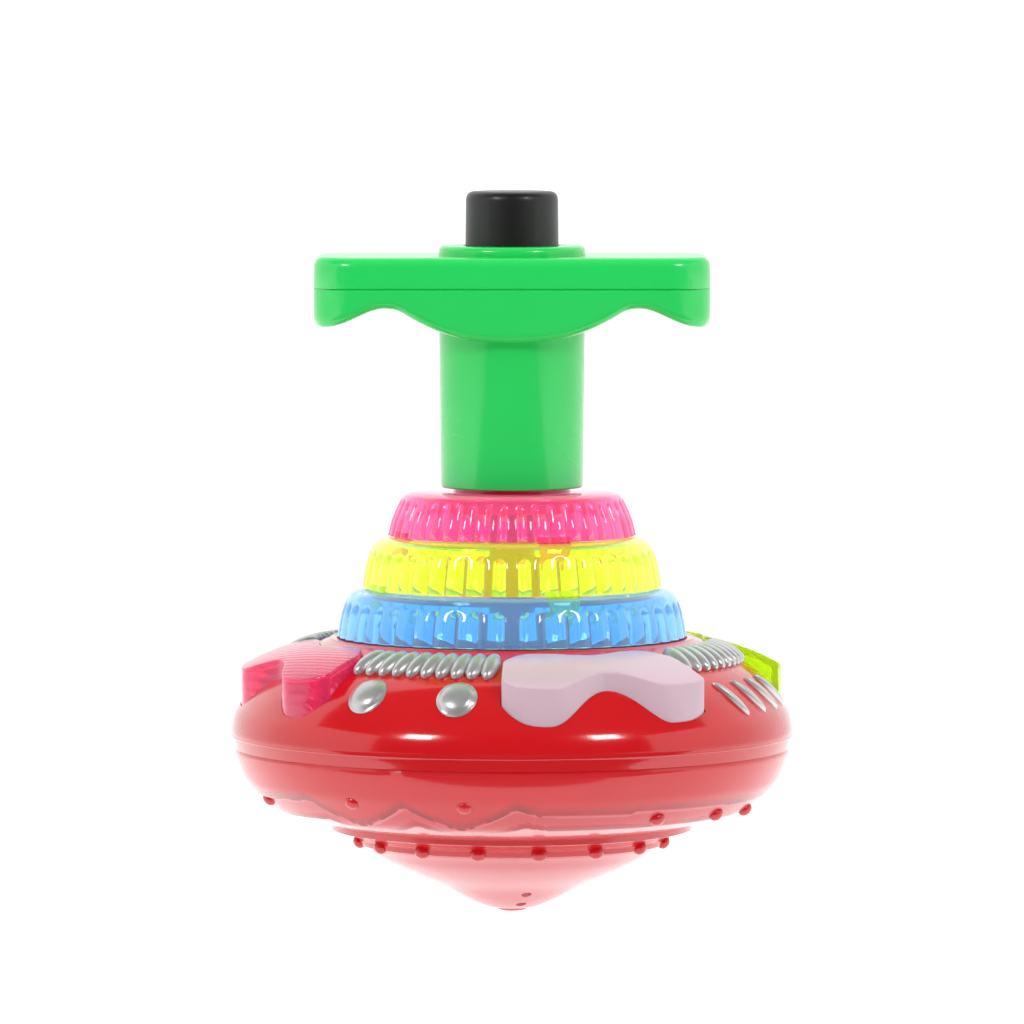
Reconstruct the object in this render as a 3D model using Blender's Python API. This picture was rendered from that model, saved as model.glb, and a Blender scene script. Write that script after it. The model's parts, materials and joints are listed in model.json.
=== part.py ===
"""Light up spinning top with its hand launcher.

Origin: the lowest point of the tip, on the spin axis. +Z is up the axis, +X runs along the
handle to its right end, and the front faces -Y. Dimensions are in millimetres until they are
turned into metres by MM.
"""

import bisect
import math

import bmesh
import bpy
from mathutils import Matrix, Vector

MM = 0.001
TAU = 2.0 * math.pi

# ---- driving dimensions ------------------------------------------------------------------
BUTTON_R = 8.05
BUTTON_TOP = 124.3
BUTTON_FILLET = 1.5
BUTTON_FOOT = 109.4
BUTTON_FLANGE_R = 9.6
BUTTON_TRAVEL = 4.0

COLLAR_R = 12.6
COLLAR_TOP = 115.0
HANDLE_HALF = 33.95
HANDLE_DEPTH = 15.0
HANDLE_PLAN_R = 8.0
HANDLE_TOP = 113.3
HANDLE_EDGE_R = 1.7
PARTING = 107.9
GAP = 0.3
CAVITY_X = 24.0
CAVITY_Y = 12.9
SCREW_X = 27.8

TUBE_R_TOP = 12.55
TUBE_R_FOOT = 12.2
TUBE_FOOT = 73.4
BORE_R_FOOT = 10.2
BORE_R = 10.7

SHAFT_R = 3.0
SHAFT_BORE = 1.8
ROD_R = 1.5
RATCHET_TEETH = 12
PAWL_AT = (9.75, 0.0)

NECK_R = 9.8
NECK_TOP = 76.2
DOG_R = 6.0
DOG_CLEARANCE = 0.15

FLUTES = 46
TIER_WALL = 1.2
TIER_TAB_AZ = 21.0
TAB_INSET = 1.5

LENS_AZ = 22.0
LENS_SPAN = 24.3
LENS_ROUND_END = (-1.0, 1.0, -1.0, 1.0)
LENS_FLOOR = 35.8
LENS_WALL = 1.4

# Handle underside as (distance from the axis, height): belly, finger scallop, end lobe.
UNDERSIDE = [
    (0.0, 98.75), (3.9, 98.9), (6.2, 99.15), (9.0, 99.55), (13.2, 101.0), (16.7, 102.7),
    (19.3, 104.2), (21.5, 104.6), (23.6, 104.3), (26.0, 103.3), (28.2, 102.3), (30.3, 101.6),
    (32.2, 101.35), (33.95, 101.35),
]
# Profiles of revolution as (radius, height).
PINK_SIDE = [
    (21.4, 65.2), (20.75, 67.8), (19.7, 70.3), (18.6, 71.85), (16.8, 72.4),
]
YELLOW_SIDE = [
    (25.8, 56.3), (25.3, 59.6), (24.5, 62.3), (23.4, 64.1), (21.6, 64.9),
]
BLUE_SIDE = [
    (30.1, 47.8), (29.6, 51.0), (28.75, 53.7), (27.6, 55.3), (25.8, 56.0),
]
SHOULDER = [
    (47.9, 28.9), (48.5, 31.0), (48.35, 32.6), (47.8, 34.5), (46.9, 36.2), (45.6, 38.2),
    (43.9, 40.3), (41.6, 42.3), (38.4, 44.3), (34.8, 46.1), (31.2, 47.5),
]
SHOULDER_INSIDE = [
    (30.6, 45.9), (37.4, 43.3), (42.2, 40.1), (45.2, 36.0), (46.7, 31.2), (46.3, 28.9),
]
BOWL = [
    (47.4, 28.6), (46.9, 26.3), (45.8, 24.4), (44.2, 22.3), (41.1, 18.5),
    (35.2, 16.1), (31.4, 14.7), (26.9, 13.3), (26.6, 12.1), (24.6, 10.9), (22.0, 9.2),
    (17.8, 7.1), (12.9, 5.0), (8.9, 2.9), (6.2, 1.6), (4.4, 0.95), (2.75, 0.8), (2.5, 0.45),
    (1.5, 0.12), (0.0, 0.0),
]
BOWL_INSIDE = [
    (0.0, 2.6), (8.0, 4.5), (15.0, 8.0), (15.0, 21.2), (16.4, 21.2), (16.4, 8.7),
    (21.3, 11.1), (25.4, 14.5), (27.2, 15.3), (27.2, 30.7), (28.4, 30.7), (28.4, 15.7),
    (34.7, 17.8), (39.8, 20.1), (42.9, 23.6), (45.6, 28.6),
]

# ---- materials ---------------------------------------------------------------------------
SLOTS = {
    "green_plastic": ((0.03, 0.62, 0.14, 1.0), 0.25, 0.0),
    "black_plastic": ((0.012, 0.012, 0.012, 1.0), 0.45, 0.0),
    "red_plastic": ((0.60, 0.006, 0.01, 1.0), 0.2, 0.0),
    "pink_lens": ((0.95, 0.05, 0.25, 0.55), 0.1, 0.0),
    "yellow_lens": ((0.75, 0.95, 0.05, 0.55), 0.1, 0.0),
    "blue_lens": ((0.02, 0.25, 0.85, 0.55), 0.1, 0.0),
    "white_lens": ((0.65, 0.50, 0.58, 0.9), 0.35, 0.0),
    "silver_paint": ((0.50, 0.50, 0.48, 1.0), 0.3, 0.9),
    "steel": ((0.56, 0.57, 0.58, 1.0), 0.3, 1.0),
    "brass": ((0.80, 0.60, 0.25, 1.0), 0.3, 1.0),
    "white_plastic": ((0.80, 0.80, 0.76, 1.0), 0.4, 0.0),
    "board": ((0.02, 0.22, 0.08, 1.0), 0.5, 0.0),
    "clear_led": ((0.85, 0.88, 0.92, 0.7), 0.08, 0.0),
}


def clear_scene():
    """Empty the start-up scene."""
    for obj in list(bpy.data.objects):
        bpy.data.objects.remove(obj, do_unlink=True)


def material(slot):
    """The slot's material, made on first use."""
    found = bpy.data.materials.get(slot)
    if found:
        return found
    color, roughness, metallic = SLOTS[slot]
    made = bpy.data.materials.new(slot)
    made.use_nodes = True
    shader = made.node_tree.nodes["Principled BSDF"]
    shader.inputs["Base Color"].default_value = color
    shader.inputs["Roughness"].default_value = roughness
    shader.inputs["Metallic"].default_value = metallic
    shader.inputs["Alpha"].default_value = color[3]
    made.diffuse_color = color
    return made


def solid(name, points, faces, slot, origin=(0.0, 0.0, 0.0)):
    """One closed mesh object from points in millimetres, facing outward."""
    base = Vector(origin)
    mesh = bpy.data.meshes.new(name)
    mesh.from_pydata([(Vector(p) - base) * MM for p in points], [], faces)
    work = bmesh.new()
    work.from_mesh(mesh)
    bmesh.ops.remove_doubles(work, verts=work.verts, dist=1e-7)
    bmesh.ops.recalc_face_normals(work, faces=work.faces)
    work.to_mesh(mesh)
    work.free()
    mesh.materials.append(material(slot))
    obj = bpy.data.objects.new(name, mesh)
    obj.location = base * MM
    bpy.context.scene.collection.objects.link(obj)
    return obj


def cut(target, tool, operation="DIFFERENCE"):
    """Cut a helper out of the target, or join it on, with an exact Boolean."""
    tool.hide_render = True
    tool.display_type = "WIRE"
    step = target.modifiers.new(tool.name, "BOOLEAN")
    step.operation = operation
    step.solver = "EXACT"
    step.object = tool


def revolve(name, profile, slot, segments=48, centre=(0.0, 0.0), radius=None):
    """Solid of revolution of a closed (radius, height) outline about a vertical axis."""
    radius = radius or (lambda turn, r, z: r)
    points, rings, faces = [], [], []
    for r, z in profile:
        if r == 0.0:
            rings.append([len(points)] * segments)
            points.append((centre[0], centre[1], z))
            continue
        rings.append(list(range(len(points), len(points) + segments)))
        for step in range(segments):
            turn = TAU * step / segments
            reach = radius(turn, r, z)
            x, y = reach * math.cos(turn), reach * math.sin(turn)
            points.append((centre[0] + x, centre[1] + y, z))
    for low, high in zip(rings, rings[1:] + rings[:1]):
        for step in range(segments):
            after = (step + 1) % segments
            corners = [low[step], low[after], high[after], high[step]]
            face = list(dict.fromkeys(corners))
            if len(face) > 2:
                faces.append(face)
    return solid(name, points, faces, slot)


def disc(r, low, high, hole=0.0):
    """Outline of a disc or washer."""
    return [(hole, low), (r, low), (r, high), (hole, high)]


def prism(name, outline, low, high, slot, hole, origin=(0.0, 0.0, 0.0)):
    """Upright prism with one outline outside and another, of as many points, as its hole."""
    count = len(outline)
    points = [(x, y, z) for ring in (outline, hole) for z in (low, high) for x, y in ring]
    faces = []
    for step in range(count):
        after = (step + 1) % count
        loops = [0, count, 3 * count, 2 * count]
        for first, second in zip(loops, loops[1:] + loops[:1]):
            faces.append([first + step, first + after, second + after, second + step])
    return solid(name, points, faces, slot, origin)


def circle(r, count, centre=(0.0, 0.0)):
    """Points of a circle."""
    turns = [TAU * step / count for step in range(count)]
    return [(centre[0] + r * math.cos(t), centre[1] + r * math.sin(t)) for t in turns]


def lobed(r, dip, lobes, count):
    """A round outline with smooth lobes."""
    points = []
    for step in range(count):
        turn = TAU * step / count
        reach = r - dip * (0.5 - 0.5 * math.cos(lobes * turn))
        points.append((reach * math.cos(turn), reach * math.sin(turn)))
    return points


def sweep(name, path, thick, sides, slot):
    """Round wire along a path, with flat ends."""
    points, faces = [], []
    for index, here in enumerate(path):
        before, after = path[max(index - 1, 0)], path[min(index + 1, len(path) - 1)]
        along = (Vector(after) - Vector(before)).normalized()
        across = along.cross(Vector((0.0, 0.0, 1.0))).normalized()
        up = across.cross(along)
        for side in range(sides):
            turn = TAU * side / sides
            spot = Vector(here) + (across * math.cos(turn) + up * math.sin(turn)) * thick
            points.append(tuple(spot))
    for index in range(len(path) - 1):
        for side in range(sides):
            after = (side + 1) % sides
            low, high = index * sides, (index + 1) * sides
            faces.append([low + side, low + after, high + after, high + side])
    faces.append(list(range(sides)))
    faces.append(list(range((len(path) - 1) * sides, len(path) * sides)))
    return solid(name, points, faces, slot)


def helix(r, low, high, turns, per_turn, centre=(0.0, 0.0)):
    """Points along an upright coil."""
    count = int(turns * per_turn)
    path = []
    for step in range(count + 1):
        turn = TAU * step / per_turn
        x, y = centre[0] + r * math.cos(turn), centre[1] + r * math.sin(turn)
        path.append((x, y, low + (high - low) * step / count))
    return path


def spread(table, x):
    """Straight-line reading of a table of (x, value) pairs."""
    keys = [row[0] for row in table]
    place = min(max(bisect.bisect_left(keys, x), 1), len(keys) - 1)
    (x0, y0), (x1, y1) = table[place - 1], table[place]
    share = min(max((x - x0) / (x1 - x0), 0.0), 1.0)
    return y0 + (y1 - y0) * share


def along_shoulder(s, lift):
    """Point (radius, height) at s mm of arc up from the shoulder's lip, lifted off it."""
    run = [0.0]
    for (r0, z0), (r1, z1) in zip(SHOULDER, SHOULDER[1:]):
        run.append(run[-1] + math.hypot(r1 - r0, z1 - z0))
    radii = [(at, r) for at, (r, _) in zip(run, SHOULDER)]
    heights = [(at, z) for at, (_, z) in zip(run, SHOULDER)]
    step = 0.6
    dr = spread(radii, s + step) - spread(radii, s - step)
    dz = spread(heights, s + step) - spread(heights, s - step)
    size = math.hypot(dr, dz)
    return spread(radii, s) + lift * dz / size, spread(heights, s) - lift * dr / size


def on_shoulder(az, s, lift):
    """Point in space over the shoulder. Azimuth 0 faces the front and grows to the right."""
    r, z = along_shoulder(s, lift)
    turn = math.radians(az)
    return (r * math.sin(turn), -r * math.cos(turn), z)


def patch(name, top, bottom, slot):
    """Closed solid between two equal grids of points, walled round their edges."""
    rows, columns = len(top), len(top[0])
    size = rows * columns
    points = [p for grid in (top, bottom) for row in grid for p in row]
    faces = []
    for base in (0, size):
        for i in range(rows - 1):
            for j in range(columns - 1):
                a = base + i * columns + j
                faces.append([a, a + 1, a + columns + 1, a + columns])
    edge = [j for j in range(columns)]
    edge += [i * columns + columns - 1 for i in range(1, rows)]
    edge += [(rows - 1) * columns + j for j in range(columns - 2, -1, -1)]
    edge += [i * columns for i in range(rows - 2, 0, -1)]
    for a, b in zip(edge, edge[1:] + edge[:1]):
        faces.append([a, b, b + size, a + size])
    return solid(name, points, faces, slot)


# ---- launcher ----------------------------------------------------------------------------
def half_depth(x):
    """Half the handle's depth at x, with its plan corners rounded."""
    past = abs(x) - (HANDLE_HALF - HANDLE_PLAN_R)
    if past <= 0.0:
        return HANDLE_DEPTH
    return HANDLE_DEPTH - HANDLE_PLAN_R + math.sqrt(max(HANDLE_PLAN_R**2 - past**2, 0.0))


def end_round(x):
    """How far an edge has turned in by x, where the handle's end is rounded over."""
    past = abs(x) - (HANDLE_HALF - HANDLE_EDGE_R)
    if past <= 0.0:
        return 0.0
    return HANDLE_EDGE_R - math.sqrt(max(HANDLE_EDGE_R**2 - past**2, 0.0))


def handle_loft(name, floor, roof, rounded_roof):
    """Half of the handle: sections across Y joined along X, one long edge rounded."""
    half = [0.0, 4.0, 8.0, 11.0, 14.0, 17.0, 19.5, 21.5, 23.5, 25.9, 28.0, 30.0, 31.5, 32.3]
    half += [32.9, 33.4, 33.75, 33.93]
    stations = [-x for x in reversed(half[1:])] + half
    sections = []
    for x in stations:
        y, low, high = half_depth(x), floor(x), roof(x)
        near, far = (high, low) if rounded_roof else (low, high)
        way = -1.0 if rounded_roof else 1.0
        arc = [math.radians(angle) for angle in (0, 45, 90)]
        edge = [(y - HANDLE_EDGE_R * (1 - math.cos(a)), HANDLE_EDGE_R * (1 - math.sin(a)))
                for a in arc]
        ring = [(side, near + way * drop) for side, drop in edge]
        section = [(y, far)] + ring + [(-side, z) for side, z in reversed(ring)] + [(-y, far)]
        sections.append([(x, side, z) for side, z in section])
    width = len(sections[0])
    points = [p for section in sections for p in section]
    faces = [list(range(width)), list(range(len(points) - width, len(points)))]
    for index in range(len(sections) - 1):
        for side in range(width):
            after = (side + 1) % width
            low, high = index * width, (index + 1) * width
            faces.append([low + side, low + after, high + after, high + side])
    return solid(name, points, faces, "green_plastic")


def box(name, size, centre):
    """Plain block, used as a cutter."""
    points = [
        (centre[0] + sx * size[0] / 2, centre[1] + sy * size[1] / 2, centre[2] + sz * size[2] / 2)
        for sx in (-1, 1) for sy in (-1, 1) for sz in (-1, 1)
    ]
    faces = [[0, 1, 3, 2], [4, 6, 7, 5], [0, 4, 5, 1], [2, 3, 7, 6], [0, 2, 6, 4], [1, 5, 7, 3]]
    return solid(name, points, faces, "black_plastic")


def make_handle():
    """The two halves of the T handle, the barrel moulded on the lower one, and two screws."""
    cover = handle_loft(
        "handle_cover", lambda x: PARTING + GAP / 2, lambda x: HANDLE_TOP - end_round(x), True
    )
    collar = revolve(
        "tool_collar",
        [(0.0, 112.0), (COLLAR_R, 112.0), (COLLAR_R, COLLAR_TOP - 0.9),
         (COLLAR_R - 0.3, COLLAR_TOP - 0.3), (COLLAR_R - 0.9, COLLAR_TOP), (0.0, COLLAR_TOP)],
        "green_plastic", 32,
    )
    cut(cover, collar, "UNION")
    cut(cover, revolve("tool_button_hole", disc(BUTTON_R + 0.35, 105.0, 118.0), "steel", 36))
    depth = HANDLE_TOP - 1.6
    middle = (100.0 + depth) / 2
    size = (2 * CAVITY_X, 2 * CAVITY_Y, depth - 100.0)
    cut(cover, box("tool_cover_room", size, (0.0, 0.0, middle)))

    housing = handle_loft(
        "handle_housing", lambda x: spread(UNDERSIDE, abs(x)) + end_round(x),
        lambda x: PARTING - GAP / 2, False,
    )
    barrel = revolve(
        "tool_barrel", [(0.0, TUBE_FOOT), (TUBE_R_FOOT - 0.3, TUBE_FOOT),
                        (TUBE_R_FOOT, TUBE_FOOT + 0.3), (TUBE_R_TOP, 101.0), (0.0, 101.0)],
        "green_plastic", 32,
    )
    cut(housing, barrel, "UNION")
    bore = [
        (0.0, 70.0), (BORE_R_FOOT, 70.0), (BORE_R_FOOT, 83.7), (BORE_R, 83.7), (BORE_R, 100.6),
        (11.9, 100.6), (11.9, 103.5), (12.6, 103.5), (12.6, 112.0), (0.0, 112.0),
    ]
    cut(housing, revolve("tool_bore", bore, "steel", 32))
    size = (2 * CAVITY_X, 2 * CAVITY_Y, 8.0)
    cut(housing, box("tool_housing_room", size, (0.0, 0.0, 106.3 + 4.0)))

    for side, x in (("left", -SCREW_X), ("right", SCREW_X)):
        hole = [(0.0, 96.0), (2.75, 96.0), (2.75, 105.0), (1.45, 105.0), (1.45, 110.0), (0.0, 110.0)]
        cut(housing, revolve("tool_hole_" + side, hole, "steel", 20, (x, 0.0)))
        cut(cover, revolve("tool_pilot_" + side, disc(1.3, 104.0, 111.2), "steel", 16, (x, 0.0)))
        screw = [
            (0.0, 103.7), (0.5, 103.2), (1.9, 103.2), (2.4, 103.6), (2.4, 104.7), (1.1, 104.7),
            (1.1, 110.3), (0.4, 110.9), (0.0, 110.9),
        ]
        revolve("handle_screw_" + side, screw, "steel", 16, (x, 0.0))


def make_button():
    """Push button, the ejector rod under it, its return spring and the plate they stand on."""
    inside = BUTTON_R - 1.65
    arc = [math.radians(angle) for angle in (0, 30, 60, 90)]
    edge = [(BUTTON_R - 0.12 - BUTTON_FILLET * (1 - math.cos(a)),
             BUTTON_TOP - BUTTON_FILLET * (1 - math.sin(a))) for a in arc]
    profile = [
        (inside, BUTTON_FOOT), (BUTTON_FLANGE_R, BUTTON_FOOT), (BUTTON_FLANGE_R, 111.0),
        (BUTTON_R, 111.0),
    ]
    profile += edge + [(0.0, BUTTON_TOP), (0.0, BUTTON_TOP - 2.0), (inside, BUTTON_TOP - 2.0)]
    revolve("push_button", profile, "black_plastic", 36)
    rod = [
        (0.0, 77.3), (1.1, 77.3), (ROD_R, 77.9), (ROD_R, 120.9), (3.4, 120.9), (3.4, 122.1),
        (0.0, 122.1),
    ]
    revolve("ejector_rod", rod, "steel", 16)
    sweep("button_spring", helix(4.6, 105.9, 121.7, 5, 10), 0.42, 5, "steel")
    prism("bearing_plate", circle(12.3, 32), 103.8, 105.2, "white_plastic", circle(3.15, 32))


def make_drive():
    """Mainspring, its drum, the hollow shaft with its ratchet, and the head that turns the top."""
    drum = [
        (3.3, 84.0), (10.4, 84.0), (10.4, 98.2), (9.5, 98.2), (9.5, 85.2), (3.3, 85.2),
    ]
    revolve("spring_drum", drum, "white_plastic", 32)
    prism("drum_lid", circle(10.4, 32), 98.5, 99.7, "white_plastic", circle(3.3, 32))
    inner, outer, turns, per_turn = 3.6, 9.0, 5, 14
    count = turns * per_turn
    strip, points, faces = 0.28, [], []
    for step in range(count + 1):
        turn, r = TAU * step / per_turn, inner + (outer - inner) * step / count
        for reach, z in ((r, 86.2), (r + strip, 86.2), (r + strip, 97.2), (r, 97.2)):
            points.append((reach * math.cos(turn), reach * math.sin(turn), z))
    for step in range(count):
        for side in range(4):
            after, low = (side + 1) % 4, step * 4
            faces.append([low + side, low + after, low + 4 + after, low + 4 + side])
    faces += [[0, 1, 2, 3], [4 * count + corner for corner in range(4)]]
    solid("mainspring", points, faces, "steel")

    revolve("drive_shaft", disc(SHAFT_R, 81.3, 105.0, SHAFT_BORE), "steel", 24)
    teeth, pitch = [], TAU / RATCHET_TEETH
    for tooth in range(RATCHET_TEETH):
        for share, r in ((0.0, 6.1), (0.12, 7.3), (0.38, 6.95), (0.68, 6.5)):
            turn = (tooth + share) * pitch
            teeth.append((r * math.cos(turn), r * math.sin(turn)))
    hub = circle(SHAFT_R + 0.06, len(teeth))
    prism("ratchet_wheel", teeth, 101.0, 103.2, "steel", hub)

    head = [
        (SHAFT_BORE, 79.6), (9.5, 79.6), (9.7, 79.9), (9.7, 83.0), (SHAFT_R + 0.06, 83.0),
        (SHAFT_R + 0.06, 81.0), (SHAFT_BORE, 81.0),
    ]
    body = revolve("drive_head", head, "black_plastic", 24)
    dog = prism("tool_dog", lobed(DOG_R, 2.2, 3, 24), 73.4, 80.2, "black_plastic", circle(1.85, 24))
    cut(body, dog, "UNION")


def make_pawl():
    """Pawl, the pin it turns on and the torsion spring round that pin."""
    px, py = PAWL_AT
    outline = []
    for step in range(11):
        turn = math.radians(-210 + 30 * step)
        outline.append((px + 1.6 * math.cos(turn), py + 1.6 * math.sin(turn)))
    outline += [(8.7, 3.0), (7.2, 4.1), (6.6, 4.0)]
    hole = []
    for x, y in outline:
        way = Vector((x - px, y - py)).normalized()
        hole.append((px + 0.95 * way.x, py + 0.95 * way.y))
    prism("pawl", outline, 101.2, 102.5, "brass", hole, (px, py, 0.0))
    revolve("pawl_pin", disc(0.8, 100.0, 103.5), "steel", 12, PAWL_AT)
    sweep("pawl_spring", helix(1.2, 102.9, 103.4, 2, 8, PAWL_AT), 0.13, 4, "steel")


# ---- spinning top ------------------------------------------------------------------------
def tier(name, side, hole, slot, under):
    """A clear stepped cap: flat top with a hole, ribbed side, a hollow below, locking tabs."""
    wall = TIER_WALL
    foot, top = side[0][1], side[-1][1]
    outside = set(side[:3])
    inside = [(r - wall, z) for r, z in side[:2]] + [(side[3][0] - 1.9, top - wall)]
    profile = side + [(hole, top), (hole, top - wall)] + list(reversed(inside))

    def ribbed(turn, r, z):
        wave = 0.5 - 0.5 * math.cos(FLUTES * turn)
        return r - 0.35 * wave if (r, z) in outside else r

    cap = revolve(name, profile, slot, FLUTES * 2, radius=ribbed)
    if under:
        make_tabs(cap, name, side[0][0] - TAB_INSET, foot, under)
    return cap


def make_tabs(cap, name, r, foot, depth):
    """Four tabs under a tier that lock it to the one below."""
    for index in range(4):
        az = math.radians(TIER_TAB_AZ + 90.0 * index)
        tab = box("tool_" + name + "_tab_" + str(index), (5.6, 1.1, depth + 1.0),
                  (0.0, -r, foot - depth / 2 + 0.5))
        tab.data.transform(Matrix.Rotation(az, 4, "Z"))
        cut(cap, tab, "UNION")


def make_slots(cap, name, r, level):
    """Slots in a tier's top for the tabs of the one above."""
    for index in range(4):
        az = math.radians(TIER_TAB_AZ + 90.0 * index)
        slot = box("tool_" + name + "_slot_" + str(index), (6.2, 1.7, 4.0), (0.0, -r, level))
        slot.data.transform(Matrix.Rotation(az, 4, "Z"))
        cut(cap, slot)


def make_tiers():
    """The three stacked light caps and the red hub that the launcher drives."""
    pink = tier("tier_pink", PINK_SIDE, NECK_R + 0.35, "pink_lens", 3.0)
    yellow = tier("tier_yellow", YELLOW_SIDE, 15.6, "yellow_lens", 3.0)
    blue = tier("tier_blue", BLUE_SIDE, 19.6, "blue_lens", 0.0)
    make_slots(yellow, "yellow", PINK_SIDE[0][0] - TAB_INSET, YELLOW_SIDE[-1][1])
    make_slots(blue, "blue", YELLOW_SIDE[0][0] - TAB_INSET, BLUE_SIDE[-1][1])
    hub = [
        (1.3, 47.8), (4.0, 47.8), (4.0, 68.4), (15.0, 69.6), (15.0, 70.9), (NECK_R, 70.9),
        (NECK_R, NECK_TOP - 0.3), (NECK_R - 0.3, NECK_TOP), (0.0, NECK_TOP), (0.0, 58.0),
        (1.3, 58.0),
    ]
    socket = revolve("drive_socket", hub, "red_plastic", 32)
    recess = lobed(DOG_R + DOG_CLEARANCE, 2.2, 3, 24)
    points = [(x, y, z) for z in (73.0, 80.0) for x, y in recess]
    faces = [list(range(24)), list(range(24, 48))]
    faces += [[i, (i + 1) % 24, 24 + (i + 1) % 24, 24 + i] for i in range(24)]
    cut(socket, solid("tool_recess", points, faces, "steel"))
    screw = [
        (0.0, 44.0), (0.6, 43.4), (2.6, 43.4), (3.1, 43.9), (3.1, 45.5), (1.1, 45.5),
        (1.1, 56.6), (0.5, 57.2), (0.0, 57.2),
    ]
    revolve("socket_screw", screw, "steel", 16)


def lens_edge(share, round_end, grow=0.0):
    """Back and front radius of a shoulder lens at a share (-1..1) of its span."""
    turn = abs(share) * LENS_SPAN
    wave = math.cos(TAU * min(turn, 14.0) / 28.0)
    past = max(turn - 14.0, 0.0) / (LENS_SPAN - 14.0)
    draw = 2.4 * past**3 if share * round_end > 0.0 else 0.0
    back = 34.2 + 0.8 * wave + 4.6 * past**3
    return back - grow, 44.6 - 2.2 * wave - draw + grow


def lens_roof(r):
    """Height of a lens's sloping top, steeper towards its front."""
    past = r - 33.4
    return 47.4 - 0.142 * past - 0.0161 * past * past


def lens_grid(az, round_end, grow, drop, columns, rows):
    """Grid of points of a lens's top, spread or shrunk, lowered by drop."""
    grid = []
    for i in range(columns):
        share = -1.0 + 2.0 * i / (columns - 1)
        back, front = lens_edge(share, round_end, grow)
        turn = math.radians(az + share * (LENS_SPAN + math.degrees(grow / 40.0)))
        line = []
        for j in range(rows):
            r = back + (front - back) * j / (rows - 1)
            z = lens_roof(r) - drop
            line.append((r * math.sin(turn), -r * math.cos(turn), z))
        grid.append(line)
    return grid


def lens(name, az, round_end, slot):
    """A peanut-shaped light window: sloping top, straight walls, open below."""
    columns, rows = 17, 3
    outer = lens_grid(az, round_end, 0.0, 0.0, columns, rows)
    inner = lens_grid(az, round_end, -LENS_WALL, LENS_WALL, columns, rows)
    size = columns * rows
    points = [p for grid in (outer, inner) for row in grid for p in row]
    faces = []
    for base in (0, size):
        for i in range(columns - 1):
            for j in range(rows - 1):
                a = base + i * rows + j
                faces.append([a, a + 1, a + rows + 1, a + rows])
    edge = list(range(rows)) + [i * rows + rows - 1 for i in range(1, columns)]
    edge += [(columns - 1) * rows + j for j in range(rows - 2, -1, -1)]
    edge += [i * rows for i in range(columns - 2, 0, -1)]
    loops = []
    for base in (0, size):
        loops.append(list(range(len(points), len(points) + len(edge))))
        points += [(points[base + k][0], points[base + k][1], LENS_FLOOR) for k in edge]
    for step in range(len(edge)):
        after = (step + 1) % len(edge)
        a, b = edge[step], edge[after]
        faces.append([a, b, loops[0][after], loops[0][step]])
        faces.append([size + a, size + b, loops[1][after], loops[1][step]])
        faces.append([loops[0][step], loops[0][after], loops[1][after], loops[1][step]])
    return solid(name, points, faces, slot)


def make_shells():
    """The red bowl below and the red shoulder above, with windows for the four lenses."""
    bowl = revolve("lower_shell", BOWL + BOWL_INSIDE, "red_plastic", 44)
    for index, r in enumerate((6.9, 11.0)):
        turn = math.radians(13.0)
        spot = (r * math.sin(turn), -r * math.cos(turn))
        cut(bowl, revolve("tool_sound_" + str(index), disc(0.85, -2.0, 9.0), "steel", 12, spot))

    plateau = [(1.6, 47.5), (1.6, 45.9)]
    shell = revolve("upper_shell", SHOULDER + plateau + SHOULDER_INSIDE, "red_plastic", 48)
    for index in range(4):
        az = LENS_AZ - 90.0 * index
        top = lens_grid(az, LENS_ROUND_END[index], 0.3, -6.0, 17, 2)
        bottom = [[(x, y, LENS_FLOOR - GAP) for x, y, _ in row] for row in top]
        cut(shell, patch("tool_window_" + str(index), top, bottom, "steel"))
        spot = circle(18.0, 4)[index]
        cut(shell, revolve("tool_light_" + str(index), disc(5.0, 40.0, 52.0), "steel", 16, spot))


def make_lenses():
    """White, pink, blue and yellow lens, a quarter turn apart."""
    colors = ("white", "pink", "blue", "yellow")
    for index, color in enumerate(colors):
        az = LENS_AZ - 90.0 * index
        lens("lens_" + color, az, LENS_ROUND_END[index], color + "_lens")


def coil(name, az):
    """A rope-like band of ten silver lobes lying along the shoulder."""
    lobes, per_lobe, rows = 10, 2, 4
    columns = lobes * per_lobe + 1
    start, width, low, high = az - 19.5, 39.0, 17.7, 25.4
    top, bottom = [], []
    for i in range(columns):
        ridge = abs(math.sin(math.pi * i / per_lobe))
        here = start + width * i / (columns - 1)
        line, base = [], []
        for j in range(rows):
            share = j / (rows - 1)
            crown = max(1.0 - (2.0 * share - 1.0) ** 4, 0.0)
            lift = 0.6 + crown * (0.35 + 0.75 * ridge)
            line.append(on_shoulder(here, low + (high - low) * share, lift))
            base.append(on_shoulder(here, low + (high - low) * share, GAP))
        top.append(line)
        bottom.append(base)
    return patch(name, top, bottom, "silver_paint")


def stud(name, az, s, half_width, half_length, lean, rise):
    """A silver relief: a low dome, oval or drawn out and slanted, over the shoulder."""
    rows, columns = 5, 5
    top, bottom = [], []
    for i in range(rows):
        v = -1.0 + 2.0 * i / (rows - 1)
        line, base = [], []
        for j in range(columns):
            u = -1.0 + 2.0 * j / (columns - 1)
            x = u * math.sqrt(1.0 - 0.5 * v * v)
            y = v * math.sqrt(1.0 - 0.5 * u * u)
            dome = max(1.0 - x * x - y * y, 0.0) ** 0.5
            here = az + math.degrees((x * half_width - y * lean) / 44.0)
            at = s + y * half_length
            line.append(on_shoulder(here, at, 0.55 + rise * dome))
            base.append(on_shoulder(here, at, GAP))
        top.append(line)
        bottom.append(base)
    return patch(name, top, bottom, "silver_paint")


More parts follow.
